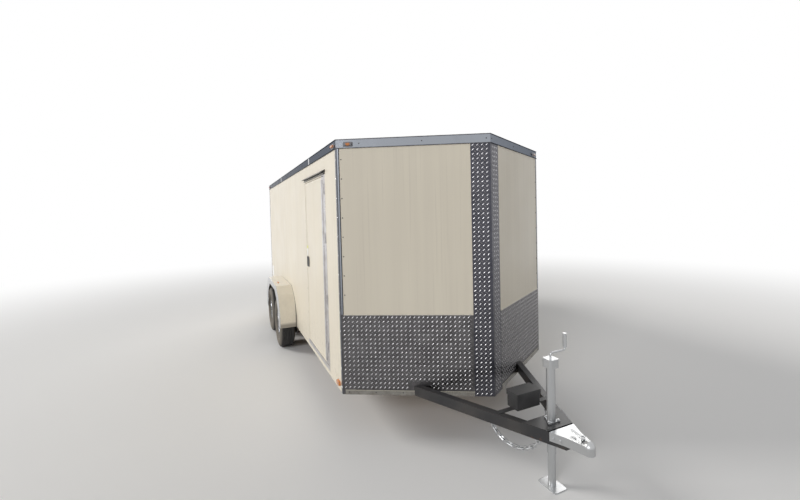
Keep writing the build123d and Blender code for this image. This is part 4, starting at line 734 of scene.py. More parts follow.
def lens(name, colour, smoky=None):
    """Moulded lamp lens: clear depth over small prisms, with smoky ends on the lamps by the front corners."""
    nodes = Nodes(name)
    depth = nodes.cells(160.0)
    tone = nodes.mottle(depth, colour, 0.55, low=0.1, high=0.6)
    if smoky is not None:
        _, _, z = nodes.axes()
        from_middle = nodes.math("ABSOLUTE", nodes.math("SUBTRACT", along_nose(nodes), NOSE_LAMP_ALONG))
        in_lamp = nodes.math("LESS_THAN", from_middle, 0.05)
        high_up = nodes.math("GREATER_THAN", z, TRIM_BOTTOM)
        ends = nodes.product(nodes.ramp(from_middle, 0.014, 0.018), in_lamp, high_up)
        tone = nodes.mix(ends, tone, smoky)
    nodes.set(Base_Color=tone, Roughness=0.12, Normal=nodes.bump(depth, 0.0008, 0.35), Coat_Weight=0.8,
              Coat_Roughness=0.04)
    return nodes.material


def plywood(settings):
    """The deck: bare plywood, scuffed."""
    nodes = Nodes("plywood")
    nodes.set(Base_Color=plywood_colour(nodes, settings.plywood, settings.plywood_dark), Roughness=0.68,
              Normal=nodes.bump(nodes.noise(40.0, detail=4.0, stretch=(5.0, 0.5, 1.0)), 0.0005, 0.5))
    return nodes.material


def braided_seal(settings):
    """A twisted weather strip: pale on its lobes, with painted shade in the grooves between them, as the
    piece's own points say.
    """
    nodes = Nodes("braided_seal")
    fibre = nodes.noise(300.0, detail=3.0)
    pale = nodes.mottle(fibre, settings.seal_pale, 0.75, low=0.3)
    # The grooves between the lobes get the rubber's black as painted shade
    nodes.set(Base_Color=nodes.mix(nodes.attribute("lit_lobe"), settings.rubber, pale), Roughness=0.7,
              Normal=nodes.bump(fibre, 0.0003, 0.5))
    return nodes.material


def nose_frame(side):
    """A nose wall's corner on the ground plane, the way along it to the ridge, its normal and its axes."""
    corner = np.array((side * HALF_WIDTH, FRONT_Y, 0.0))
    along = np.array((-side * HALF_WIDTH, -NOSE_DEPTH, 0.0)) / NOSE_LENGTH
    normal = np.array((side * NOSE_DEPTH, -HALF_WIDTH, 0.0)) / NOSE_LENGTH
    return corner, along, normal, frames_for(normal)[0]


def run_of(start, end, pitch):
    """Evenly spaced points from start to end, as near to the pitch as fits."""
    start, end = np.asarray(start, float), np.asarray(end, float)
    count = max(2, int(round(np.linalg.norm(end - start) / pitch)) + 1)
    return start + np.linspace(0, 1, count)[:, None] * (end - start)


def screw_head(radius, height, steps=10):
    """A domed screw or rivet head."""
    profile = ((radius, -height * 0.3), (radius, height * 0.25), (radius * 0.78, height * 0.75),
               (radius * 0.38, height))
    return turned(profile, steps)


def hex_head(radius, height):
    """A bolt head: six flats with a round washer below."""
    washer = turned(((radius * 1.25, 0.0), (radius * 1.25, height * 0.2)), 14)
    flats = turned(((radius, height * 0.2), (radius, height * 0.92), (radius * 0.86, height)), 6)
    return joined((washer, flats))


def head_row(points, normal, head):
    """One head at each point, standing on a face."""
    return placed(head, points, frames_for(normal, UP if abs(np.dot(normal, UP)) < 0.9 else BACK))


def slab(loop, centre, across, upwards, normal, gauge, taper=1.0):
    """A thin plate: point = centre + loop at its foot, and centre + gauge * normal + taper * loop on top."""
    foot = np.asarray(centre, float)
    top = foot + np.asarray(normal) * gauge
    count = len(loop)
    rims = (in_plane(loop, foot, across, upwards), in_plane(loop * taper, top, across, upwards))
    points = np.concatenate((*rims, (foot, top)))
    ends = (fan(2 * count, np.arange(count), reverse=True), fan(2 * count + 1, np.arange(count) + count))
    return Shape(points, grid_quads(2, count, wrap_columns=True), np.concatenate(ends))


def tread_bar(sizes):
    """One raised bar: half an ellipse across, tapering to a point at both ends along u, with
    width = W (1 - u^2)^0.8 and height = H (1 - u^6)^0.5, so that its crest stays level."""
    u = np.array((-0.86, -0.5, 0.0, 0.5, 0.86))
    across = np.array((-1.0, -0.6, 0.0, 0.6, 1.0))
    rise = np.array((-0.12, 0.8, 1.0, 0.8, -0.12))
    rows, columns = len(u), len(across)
    x = np.broadcast_to((u * sizes.bar_length / 2)[:, None], (rows, columns))
    y = ((1 - u**2) ** 0.8)[:, None] * across * sizes.bar_width / 2
    z = np.where(rise > 0, ((1 - u**6) ** 0.5)[:, None] * rise, rise) * sizes.bar_height
    tips = np.array(((-sizes.bar_length / 2, 0, 0), (sizes.bar_length / 2, 0, 0)))
    points = np.concatenate((np.stack((x, y, z), -1).reshape(-1, 3), tips))
    count = rows * columns
    caps = (fan(count, np.arange(columns)), fan(count + 1, np.arange(count - columns, count), reverse=True))
    return Shape(points, grid_quads(rows, columns, wrap_columns=True)[:, ::-1], np.concatenate(caps))


def tread_field(sizes, side, along_low, along_high, low, high, reach):
    """Bars over one field of a nose wall, on a square lattice leaning one way and on its centres leaning the
    other. No bar stands where a tongue rail passes the wall."""
    corner, along, normal, axes = nose_frame(side)
    bar = tread_bar(sizes)
    fields, lit_bars = [], []
    margin = sizes.bar_length * 0.4
    rail_reach, rail_gap = 0.06, 0.02
    for lean, offset in ((1, 0.25), (-1, 0.75)):
        s = np.arange(along_low + margin + offset * sizes.bar_pitch, along_high - margin, sizes.bar_pitch)
        z = np.arange(low + margin + offset * sizes.bar_pitch, high - margin, sizes.bar_pitch)
        s, z = (grid.ravel() for grid in np.meshgrid(s, z))
        centres = corner + s[:, None] * along + normal * reach + z[:, None] * UP
        rail_x = (centres[:, 1] - TONGUE_APEX_Y) * tan(TONGUE_ANGLE)
        at_rail = (np.abs(np.abs(centres[:, 0]) - rail_x) < rail_reach) & (z < RAIL_TOP + rail_gap)
        turn = lean * radians(45)
        long_axis = cos(turn) * axes[0] + sin(turn) * UP
        bar_axes = np.stack((long_axis, np.cross(normal, long_axis), normal))
        fields.append(placed(bar, centres[~at_rail], bar_axes))
        # Bars that lean one way get the painted highlight (1), the others stay darker (0)
        lit_bars.append(np.full(len(fields[-1].points), 0.0 if lean * side > 0 else 1.0))
    return joined(fields), np.concatenate(lit_bars)


class TrailerSizes(bpy.types.PropertyGroup):
    """Sizes of the small fittings."""

    bar_pitch: FloatProperty(name="Bar pitch", description="Pitch of the tread plate's bars", default=0.036,
                             unit="LENGTH")
    bar_length: FloatProperty(name="Bar length", description="Length of one tread bar", default=0.026,
                              unit="LENGTH")
    bar_width: FloatProperty(name="Bar width", description="Width of one tread bar", default=0.0085,
                             unit="LENGTH")
    bar_height: FloatProperty(name="Bar height", description="Rise of one tread bar", default=0.0022,
                              unit="LENGTH")
    screw_radius: FloatProperty(name="Screw radius", description="Radius of a panel screw's head",
                                default=0.0052, unit="LENGTH")
    screw_height: FloatProperty(name="Screw height", description="Rise of a panel screw's head",
                                default=0.0028, unit="LENGTH")
    screw_pitch: FloatProperty(name="Screw pitch", description="Pitch of the screws up the nose walls",
                               default=0.157, unit="LENGTH")
    trim_pitch: FloatProperty(name="Trim screw pitch", description="Pitch of the screws along the top trim",
                              default=0.405, unit="LENGTH")
    seal_radius: FloatProperty(name="Seal radius", description="Radius of the doors' bulb seals",
                               default=0.0028, unit="LENGTH")
    tread_depth: FloatProperty(name="Tread depth", description="Depth of the tyres' grooves",
                               default=0.0075, unit="LENGTH")
    tyre_steps: IntProperty(name="Tyre steps", description="Steps round a tyre", default=384, min=96)


class TrailerFinish(bpy.types.PropertyGroup):
    """Colours of the trailer's finishes."""

    skin: FloatVectorProperty(name="Skin", description="Cream paint of the panels", subtype="COLOR",
                              default=(0.77, 0.71, 0.59))
    skin_streak: FloatVectorProperty(name="Skin streaks", description="Paint dulled by rain",
                                     subtype="COLOR", default=(0.66, 0.60, 0.50))
    road_film: FloatVectorProperty(name="Road film", description="Dirt low on the panels", subtype="COLOR",
                                   default=(0.33, 0.28, 0.21))
    # Dark and a little blue: partly a painted reflection of sky and surroundings
    trim_metal: FloatVectorProperty(name="Trim", description="Polished aluminium", subtype="COLOR",
                                    default=(0.31, 0.33, 0.365))
    # Very dark: partly weathering, partly a painted reflection of a dark ground
    tread_metal: FloatVectorProperty(name="Tread plate", description="Flat of the tread plate",
                                     subtype="COLOR", default=(0.15, 0.145, 0.15))
    # Colour of the bars' painted highlight
    bar_metal: FloatVectorProperty(name="Tread bars", description="Rubbed tops of the bars",
                                   subtype="COLOR", default=(0.72, 0.71, 0.73))
    roof_metal: FloatVectorProperty(name="Roof", description="Mill-finish roof sheet", subtype="COLOR",
                                    default=(0.46, 0.47, 0.485))
    frame_paint: FloatVectorProperty(name="Chassis", description="Black chassis paint", subtype="COLOR",
                                     default=(0.022, 0.022, 0.024))
    rust: FloatVectorProperty(name="Rust", description="Rust on the steel", subtype="COLOR",
                              default=(0.26, 0.11, 0.045))
    zinc: FloatVectorProperty(name="Zinc", description="Zinc plating", subtype="COLOR",
                              default=(0.50, 0.51, 0.52))
    iron: FloatVectorProperty(name="Iron", description="Hub and drum castings", subtype="COLOR",
                              default=(0.06, 0.055, 0.05))
    rim_metal: FloatVectorProperty(name="Rims", description="Bright wheels", subtype="COLOR",
                                   default=(0.66, 0.67, 0.69))
    rubber: FloatVectorProperty(name="Rubber", description="Tyres and seals", subtype="COLOR",
                                default=(0.024, 0.024, 0.025))
    tyre_dust: FloatVectorProperty(name="Tyre dust", description="Dust on the tyres' sidewalls",
                                   subtype="COLOR", default=(0.22, 0.19, 0.15))
    # Colour of the seal's lobes; the grooves between them are painted shade
    seal_pale: FloatVectorProperty(name="Seal strand", description="Pale strand of the weather strip",
                                   subtype="COLOR", default=(0.52, 0.50, 0.46))
    plywood: FloatVectorProperty(name="Plywood", description="Light grain of the plywood", subtype="COLOR",
                                 default=(0.56, 0.40, 0.23))
    plywood_dark: FloatVectorProperty(name="Plywood grain", description="Dark grain of the plywood",
                                      subtype="COLOR", default=(0.38, 0.24, 0.12))
    amber: FloatVectorProperty(name="Amber", description="Amber lamps", subtype="COLOR",
                               default=(0.85, 0.26, 0.02))
    red: FloatVectorProperty(name="Red", description="Red lamps", subtype="COLOR",
                             default=(0.55, 0.015, 0.012))
    label: FloatVectorProperty(name="Label", description="Blank vinyl label", subtype="COLOR",
                               default=(0.82, 0.82, 0.80))


class TrailerStage(bpy.types.PropertyGroup):
    """Studio, light and camera."""

    floor_colour: FloatVectorProperty(name="Floor", description="Pale studio floor", subtype="COLOR",
                                      default=(0.84, 0.84, 0.84))
    key_strength: FloatProperty(name="Key light", description="Strength of the key light", default=1.45)
    sky_strength: FloatProperty(name="Fill light", description="Strength of the light from all round",
                                default=0.26)
    lens_length: FloatProperty(name="Lens", description="Focal length of the camera", default=17.2,
                               subtype="DISTANCE_CAMERA")


class TRAILER_OT_paint(bpy.types.Operator):
    """Make every finish and give the frame's nodes theirs"""

    bl_idname = "trailer.paint"
    bl_label = "Paint the frame"

    def execute(self, context):
        finish = context.scene.trailer_finish
        makers = (skin_paint, fender_paint, polished_aluminium, top_trim_aluminium, corner_aluminium,
                  skirt_aluminium, tread_aluminium, guard_aluminium, bar_aluminium, roof_aluminium,
                  door_edge_finish, cap_plastic, frame_steel, spring_steel, zinc_steel, drum_iron, bright_rim,
                  tyre_rubber, plywood, braided_seal)
        for maker in makers:
            MATERIALS[maker.__name__] = maker(finish)
        MATERIALS["amber_lens"] = lens("amber_lens", finish.amber, smoky=(0.20, 0.19, 0.20))
        MATERIALS["red_lens"] = lens("red_lens", finish.red)
        plastics = (
            ("black_plastic", finish.rubber, 0.5), ("seal_rubber", finish.rubber, 0.62),
            ("white_vinyl", finish.label, 0.36), ("yellow_vinyl", (0.62, 0.66, 0.08), 0.4),
            ("lamp_base", (0.17, 0.17, 0.19), 0.35), ("dark_screw", (0.045, 0.042, 0.04), 0.35),
        )
        for name, colour, roughness in plastics:
            MATERIALS[name] = moulded_plastic(name, colour, roughness)
        # Where the finish isn't named as the node's slot is
        by_slot = {
            "painted_skin": "skin_paint", "roof_sheet": "roof_aluminium", "cast_drum": "drum_iron",
            "polished_trim": "polished_aluminium", "tread_plate": "tread_aluminium",
        }
        by_node = {
            "top_trim": "top_trim_aluminium", "corner_trims": "corner_aluminium",
            "side_door_frame": "door_edge_finish", "side_door_trim": "door_edge_finish",
            "drip_cap": "cap_plastic", "stone_guards": "guard_aluminium", "fender_skirts": "skirt_aluminium",
            "fender_left": "fender_paint", "fender_right": "fender_paint",
        }
        for row in frame["record"]["subparts"]:
            node, slot = frame["nodes"][row["node"]], row["material_slot"]
            chosen = MATERIALS[by_node.get(row["node"], by_slot.get(slot, slot))]
            if not node.material_slots:
                node.data.materials.append(chosen)
            for place in node.material_slots:
                place.material = chosen
        return {"FINISHED"}


class TRAILER_OT_tread_plate(bpy.types.Operator):
    """Raise the bars of the tread plate on both stone guards and the nose strip"""

    bl_idname = "trailer.tread_plate"
    bl_label = "Tread plate"

    def execute(self, context):
        sizes = context.scene.trailer_sizes
        low, high = BODY_LOW + GUARD_RAIL, GUARD_TOP - GUARD_CAP
        fields = {}
        for side, name in ((1, "left"), (-1, "right")):
            fields[f"guard_bars_{name}"] = tread_field(sizes, side, 0.008, STRIP_START, low, high, SHEET)
        strip = (STRIP_START, NOSE_LENGTH, BODY_LOW, TRIM_BOTTOM, SHEET)
        halves, lit_bars = zip(*(tread_field(sizes, side, *strip) for side in (1, -1)))
        fields["nose_strip_bars"] = joined(halves), np.concatenate(lit_bars)
        # Each bar's points carry whether it gets the painted highlight
        for name, (shape, values) in fields.items():
            piece = add_piece(name, shape, "bar_aluminium", "trailer", 60)
            give_values(piece, "lit_bars", values)
        return {"FINISHED"}


class TRAILER_OT_fasteners(bpy.types.Operator):
    """Set the panel screws, trim rivets and deck screws"""

    bl_idname = "trailer.fasteners"
    bl_label = "Screws and rivets"

    def execute(self, context):
        sizes = context.scene.trailer_sizes
        radius, height, pitch = sizes.screw_radius, sizes.screw_height, sizes.screw_pitch
        strip_pitch, rail_pitch, cap_pitch = 0.30, 0.256, 0.17
        skirt_pitch, roof_pitch, deck_pitch = 0.102, 0.2, 0.203
        screw = screw_head(radius, height)
        rivet = screw_head(radius * 1.25, height * 1.1)
        small = screw_head(radius * 0.6, height * 0.7, steps=8)
        dark, bright, polished = [], [], []
        row_top, row_low = TRIM_BOTTOM - 0.088, BODY_LOW + 0.05
        trim_z = (TRIM_BOTTOM + BODY_HIGH) / 2
        skirt_z = BODY_LOW + 0.009
        rail_z, cap_z = BODY_LOW + GUARD_RAIL / 2, GUARD_TOP - GUARD_CAP / 2
        guard_start, guard_end = NOSE_CORNER_LEG + 0.03, STRIP_START - 0.03
        trim_leg, leg_middle = NOSE_CORNER_LEG + 0.014, FRONT_Y + CORNER_SIDE_LEG * 0.4
        back_y = REAR_Y + SHEET

        def add_row(heads, start, end, spacing, normal, head):
            """A straight row of heads on a face."""
            heads.append(head_row(run_of(start, end, spacing), normal, head))

        for side in (-1, 1):
            corner, along, normal, _ = nose_frame(side)

            def nose_row(heads, start, end, spacing, head, reach=SHEET):
                """A row on this nose wall, between two places as (distance along the wall, height)."""
                ends = (corner + along * distance + normal * reach + UP * z for distance, z in (start, end))
                add_row(heads, *ends, spacing, normal, head)

            def side_row(heads, start, end, spacing, head, reach=SHEET):
                """A row on this side wall, between two places as (y, height)."""
                ends = ((side * (HALF_WIDTH + reach), y, z) for y, z in (start, end))
                add_row(heads, *ends, spacing, np.array((side, 0.0, 0.0)), head)

            nose_row(dark, (trim_leg, row_top), (trim_leg, GUARD_TOP + 0.16), pitch, screw, reach=0.0)
            for inset in (STRIP_START + 0.010, NOSE_LENGTH - 0.012):
                nose_row(dark, (inset, row_top), (inset, BODY_LOW + 0.1), strip_pitch, small)
            nose_row(dark, (0.19, trim_z), (NOSE_LENGTH - 0.03, trim_z), sizes.trim_pitch, screw)
            side_row(dark, (FRONT_Y + 0.2, trim_z), (REAR_Y - 0.2, trim_z), sizes.trim_pitch, screw)
            nose_row(dark, (guard_start, rail_z), (0.5, rail_z), rail_pitch, screw, reach=GUARD_RAIL_REACH)
            nose_row(bright, (guard_start, cap_z), (guard_end, cap_z), cap_pitch, small,
                     reach=GUARD_RAIL_REACH)
            side_row(polished, (leg_middle, row_top), (leg_middle, row_low), pitch, rivet)
            side_row(bright, (REAR_Y - 0.03, row_top), (REAR_Y - 0.03, row_low), pitch, rivet)
            x = side * (HALF_WIDTH - 0.03)
            add_row(bright, (x, back_y, row_top), (x, back_y, row_low), pitch, BACK, rivet)
            side_row(bright, (FRONT_Y + 0.06, skirt_z), (REAR_Y - 0.09, skirt_z), skirt_pitch, small,
                     reach=0.0)
            x = side * (HALF_WIDTH - 0.013)
            add_row(bright, (x, FRONT_Y + 0.1, BODY_HIGH), (x, REAR_Y - 0.1, BODY_HIGH), roof_pitch, UP,
                    rivet)
        add_row(dark, (-0.9, back_y, trim_z), (0.9, back_y, trim_z), sizes.trim_pitch, BACK, screw)

        deck = []
        for x in (-0.98, -0.49, 0.0, 0.49, 0.98):
            add_row(deck, (x, FRONT_Y + 0.2, DECK_TOP), (x, REAR_Y - 0.2, DECK_TOP), deck_pitch, UP, small)
        pieces = (
            ("panel_screws", dark, "dark_screw"), ("trim_rivets", bright, "zinc_steel"),
            ("corner_rivets", polished, "bright_rim"), ("deck_screws", deck, "dark_screw"),
        )
        for name, heads, finish in pieces:
            add_piece(name, joined(heads), finish, "trailer", 50)
        return {"FINISHED"}


class TRAILER_OT_door_fittings(bpy.types.Operator):
    """Add the side door's seal, weather strip, hinge screws and frame screws"""

    bl_idname = "trailer.door_fittings"
    bl_label = "Side door fittings"

    def execute(self, context):
        sizes = context.scene.trailer_sizes
        face_x, seal_depth, seal_gap, seal_corner = -HALF_WIDTH, 0.012, 0.006, 0.009
        leaf_height, leaf_width = DOOR_HIGH.z - DOOR_LOW.z, DOOR_HIGH.y - DOOR_LOW.y
        middle = (face_x + seal_depth, (DOOR_LOW.y + DOOR_HIGH.y) / 2, (DOOR_LOW.z + DOOR_HIGH.z) / 2)
        loop = rounded_loop(leaf_width + seal_gap, leaf_height + seal_gap, seal_corner, 5)
        path = in_plane(loop, middle, (0, -1, 0), UP)
        seal = carried(ring_profile(sizes.seal_radius, 8), path, KERB, closed=True)
        add_piece("side_door_seal", seal, "seal_rubber", "trailer", 60)

        # The weather strip: three lobes, radius = R (0.86 + 0.14 cos 3a), twisted along its run
        flange_top, strip_inset = DOOR_FRAME_HIGH.z - DOOR_FLANGE / 2, 0.012
        strip_length = DOOR_FRAME_HIGH.y - DOOR_FRAME_LOW.y - 2 * strip_inset
        start = np.array((face_x - SHEET - 0.0055, DOOR_FRAME_LOW.y + strip_inset, flange_top))
        end = start + np.array((0.0, strip_length, 0.0))
        steps, points_round, strip_radius, strip_pitch = 360, 24, 0.0062, 0.09
        angle = np.arange(points_round) * 2 * pi / points_round
        swell = strip_radius * (0.86 + 0.14 * np.cos(3 * angle))
        profile = np.stack((swell * np.cos(angle), swell * np.sin(angle)), -1)
        path = start + np.linspace(0, 1, steps)[:, None] * (end - start)
        strip = carried(profile, path, KERB, twist=2 * pi / strip_pitch)
        piece = add_piece("door_weather_strip", strip, "braided_seal", "trailer", 60)
        # Points on the lobes stay pale; those in the grooves get painted shade
        lit_lobes = np.tile((np.cos(3 * angle / 2) ** 2 > 0.5).astype(np.float32), steps)
        give_values(piece, "lit_lobe", np.concatenate((lit_lobes, (0.0, 0.0))))

        small = screw_head(sizes.screw_radius * 0.62, sizes.screw_height * 0.7, steps=8)
        frame_screws, leaf_screws = [], []
        hinge_gauge, from_edge, hinge_lift, flange_pitch = 0.0025, 0.014, 0.034, 0.2
        frame_height, x = DOOR_FRAME_HIGH.z - DOOR_FRAME_LOW.z, face_x - SHEET
        jamb_y = DOOR_FRAME_LOW.y + DOOR_FLANGE - from_edge
        for share in HINGE_SHARES:
            for lift in (-hinge_lift, 0.0, hinge_lift):
                z = DOOR_FRAME_LOW.z + share * frame_height + lift
                frame_screws.append((x - hinge_gauge, jamb_y, z))
                leaf_screws.append((face_x - DOOR_EDGE - hinge_gauge, DOOR_LOW.y + from_edge, z))
        near_y, far_y = DOOR_FRAME_LOW.y + 0.05, DOOR_FRAME_HIGH.y - DOOR_FLANGE / 2
        sill_z = DOOR_FRAME_LOW.z + 0.020
        frame_screws.extend(run_of((x, far_y, sill_z), (x, far_y, flange_top - 0.03), flange_pitch))
        frame_screws.extend(run_of((x, near_y, sill_z), (x, far_y - 0.05, sill_z), flange_pitch))
        for name, spots, body in (("door_frame_screws", frame_screws, "trailer"),
                                  ("door_hinge_screws", leaf_screws, "side_door")):
            add_piece(name, head_row(spots, KERB, small), "zinc_steel", body, 50)
        return {"FINISHED"}


class TRAILER_OT_ramp_fittings(bpy.types.Operator):
    """Add the ramp door's seal, edge strips and bolts"""

    bl_idname = "trailer.ramp_fittings"
    bl_label = "Ramp door fittings"

    def execute(self, context):
        width, height = RAMP_HIGH.x - RAMP_LOW.x, RAMP_HIGH.z - RAMP_LOW.z
        middle = (0.0, REAR_Y, (RAMP_LOW.z + RAMP_HIGH.z) / 2)
        border, gauge = 0.030, 0.0015
        outer, inner = (rounded_loop(width - inset, height - inset, 0.001, 2) for inset in (0.0, 2 * border))
        strip = flat_frame(outer, inner, middle, (-1, 0, 0), UP, BACK, gauge)
        add_piece("ramp_edge_strip", strip, "polished_aluminium", "ramp_door", 40)

        # The seal runs up both posts and across the top, in the gap between the frame and the leaf
        half_gap, corner, seal_depth, seal_radius = 0.004, 0.01, 0.014, 0.0034
        x, low, high = RAMP_HIGH.x + half_gap, RAMP_LOW.z + 0.02, RAMP_HIGH.z + half_gap
        right_half = ((x - corner, high), (x, high - corner), (x, low))
        arch = [(-across, z) for across, z in reversed(right_half)] + list(right_half)
        path = [(across, REAR_Y - seal_depth, z) for across, z in arch]
        seal = carried(ring_profile(seal_radius, 8), path, BACK)
        add_piece("ramp_door_seal", seal, "seal_rubber", "trailer", 60)

        bar_x, bracket_reach, keeper_reach = RAMP_HIGH.x - 0.150, 0.019, 0.004
        bracket_zs, keeper_z = (RAMP_LOW.z + 0.894, RAMP_HIGH.z - 0.090), RAMP_HIGH.z + 0.042
        bolts = [(side * bar_x + dx, REAR_Y + bracket_reach, z + dz)
                 for side in (-1, 1) for z in bracket_zs for dx in (-0.0175, 0.0175) for dz in (-0.02, 0.02)]
        add_piece("bar_bracket_bolts", head_row(bolts, BACK, hex_head(0.0062, 0.006)), "zinc_steel",
                  "ramp_door", 40)
        bolts = [(side * bar_x + dx, REAR_Y + keeper_reach, keeper_z + dz)
                 for side in (-1, 1) for dx in (-0.025, 0.025) for dz in (-0.023, 0.023)]
        add_piece("keeper_bolts", head_row(bolts, BACK, screw_head(0.004, 0.002)), "zinc_steel", "trailer",
                  50)
        return {"FINISHED"}


def tyre_section():
    """The tyre's section as (across, radius, tread share, dust): bead, sidewall, shoulder, tread, mirrored.
    The sidewall is an arch over its chord, point = chord point + 4 t (1 - t) * reach outwards, with ribs."""
    bead_half, bead_low, bead_top = 0.0657, 0.191, 0.2033
    bulge, shoulder, tread_half = np.array((0.101, 0.2735)), np.array((0.085, 0.329)), 0.070
    wall_points, tread_points, rib_depth, rib_count = 25, 45, 0.0011, 4
    bend = np.linspace(0, 1, wall_points)
    start = np.array((bead_half, bead_top))
    chord = shoulder - start
    outwards = np.array((chord[1], -chord[0])) / np.linalg.norm(chord)
    reach = np.dot(bulge - (start + shoulder) / 2, outwards)
    ribs = rib_depth * (np.cos(bend * 2 * pi * rib_count) - 1) * (bend > 0.1) * (bend < 0.95)
    wall = start + bend[:, None] * chord + (reach * 4 * bend * (1 - bend) + ribs)[:, None] * outwards
    # Less dust in the ribs' grooves, so that they come out darker as painted shade
    dust = np.interp(bend, (0.0, 0.12, 0.3, 0.8, 1.0), (0.3, 0.55, 0.8, 0.8, 0.5)) + 50 * ribs
    wall_rows = np.stack((wall[:, 0], wall[:, 1], np.zeros(wall_points), dust), -1)
    shoulder_rows = ((0.0815, 0.3345, 0.6, 0.4), (0.0765, 0.3405, 1.0, 0.2))
    half = np.concatenate((((bead_half, bead_low, 0.0, 0.3),), wall_rows, shoulder_rows))
    tread = np.linspace(tread_half, -tread_half, tread_points)[:, None]
    crown = np.concatenate((tread, np.broadcast_to((TYRE_RADIUS, 1.0, 0.05), (tread_points, 3))), -1)
    return np.concatenate((half, crown, half[::-1] * (-1, 1, 1, 1)))


def tyre_shape(sizes, side, axle_y, wheel_x):
    """A tyre: its section turned round the axle, radius = section radius - depth * groove(across, angle). The
    grooves are four rings and slanting cuts through the ribs between them."""
    section = tyre_section()
    across, radius, tread, dust = section.T
    away = np.abs(across)
    steps = sizes.tyre_steps
    angle = np.arange(steps)[:, None] * 2 * pi / steps
    ring_places, ring_half, ring_edge = (0.017, 0.044), 1.6, 0.0035
    rings = np.max([np.clip(ring_half - np.abs(away - place) / ring_edge, 0, 1) for place in ring_places], 0)
    cuts_round, outer_rib = 64, away > 0.047
    lean = np.where(outer_rib, 10.0, 26.0) * away
    phase = (angle * cuts_round / (2 * pi) + lean + 0.5 * (across > 0)) % 1.0
    cut_width, cut_depth = np.where(outer_rib, 0.17, 0.09), np.where(outer_rib, 0.9, 0.55)
    cuts = np.clip((cut_width - np.abs(phase - 0.5)) / 0.06, 0, 1) * cut_depth
    r = radius - np.maximum(rings, cuts) * tread * sizes.tread_depth
    x = wheel_x + side * across + 0 * angle
    points = np.stack((x, axle_y + r * np.cos(angle), TYRE_RADIUS + r * np.sin(angle)), -1)
    quads = grid_quads(steps, len(section), wrap_rows=True, wrap_columns=True)
    return Shape(points, quads if side > 0 else quads[:, ::-1]), np.tile(dust, steps)


class TRAILER_OT_tyres(bpy.types.Operator):
    """Put treaded tyres in place of the frame's plain ones, and their valves"""

    bl_idname = "trailer.tyres"
    bl_label = "Tyres"

    def execute(self, context):
        sizes = context.scene.trailer_sizes
        stem = carried(ring_profile(0.0042, 10), ((0, 0, 0), (0.012, 0, 0), (0.032, 0, 0.002)), (0, 1, 0))
        valve_reach, valve_radius, valve_angle = 0.036, 0.158, 0.39
        valve_y, valve_z = valve_radius * cos(valve_angle), TYRE_RADIUS + valve_radius * sin(valve_angle)
        for row, axle_y in (("front", AXLE_YS[0]), ("rear", AXLE_YS[1])):
            for side_name, side in (("left", 1), ("right", -1)):
                name = f"{row}_{side_name}"
                wheel_x = sum(corner.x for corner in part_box(f"tyre_{name}")) / 2
                shape, dust = tyre_shape(sizes, side, axle_y, wheel_x)
                body = f"wheel_{name}"
                piece = add_piece(f"tread_tyre_{name}", shape, "tyre_rubber", body, 40)
                give_values(piece, "dust", dust)
                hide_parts(f"tyre_{name}")
                axes = np.array(((side, 0, 0), (0, side, 0), (0, 0, 1.0)))
                valve = placed(stem, (wheel_x + side * valve_reach, axle_y + valve_y, valve_z), axes)
                add_piece(f"valve_{name}", valve, "black_plastic", body, 50)
        return {"FINISHED"}


class TRAILER_OT_running_gear(bpy.types.Operator):
    """Clamp the springs to the axles with their U-bolts"""

    bl_idname = "trailer.running_gear"
    bl_label = "Spring bolts"

    def execute(self, context):
        rod, tube_radius, bend_points = 0.0065, 0.0302, 13
        tube_z = TYRE_RADIUS - 0.102
        reach = tube_radius + rod
        legs_low = SPRING_BOTTOM - 0.018
        spring_x, bolt_offset = HALF_WIDTH - 0.04025, 0.031
        bend = np.linspace(0, pi, bend_points)
        arc = np.stack((np.zeros(bend_points), reach * np.cos(bend), tube_z + reach * np.sin(bend)), -1)
        path = np.concatenate((((0, reach, legs_low),), arc, ((0, -reach, legs_low),)))
        rod_shape = carried(ring_profile(rod, 10), path, (1, 0, 0))
        head_down = np.array(((1.0, 0, 0), (0, -1.0, 0), (0, 0, -1.0)))
        nut_places = ((0, reach, SPRING_BOTTOM), (0, -reach, SPRING_BOTTOM))
        nuts = placed(hex_head(0.0105, 0.010), nut_places, head_down)
        centres = [(side * spring_x + offset, axle_y, 0.0)
                   for side in (-1, 1) for axle_y in AXLE_YS for offset in (-bolt_offset, bolt_offset)]
        add_piece("spring_u_bolts", placed(joined((rod_shape, nuts)), centres, np.eye(3)), "spring_steel",
                  "trailer", 45)
        return {"FINISHED"}


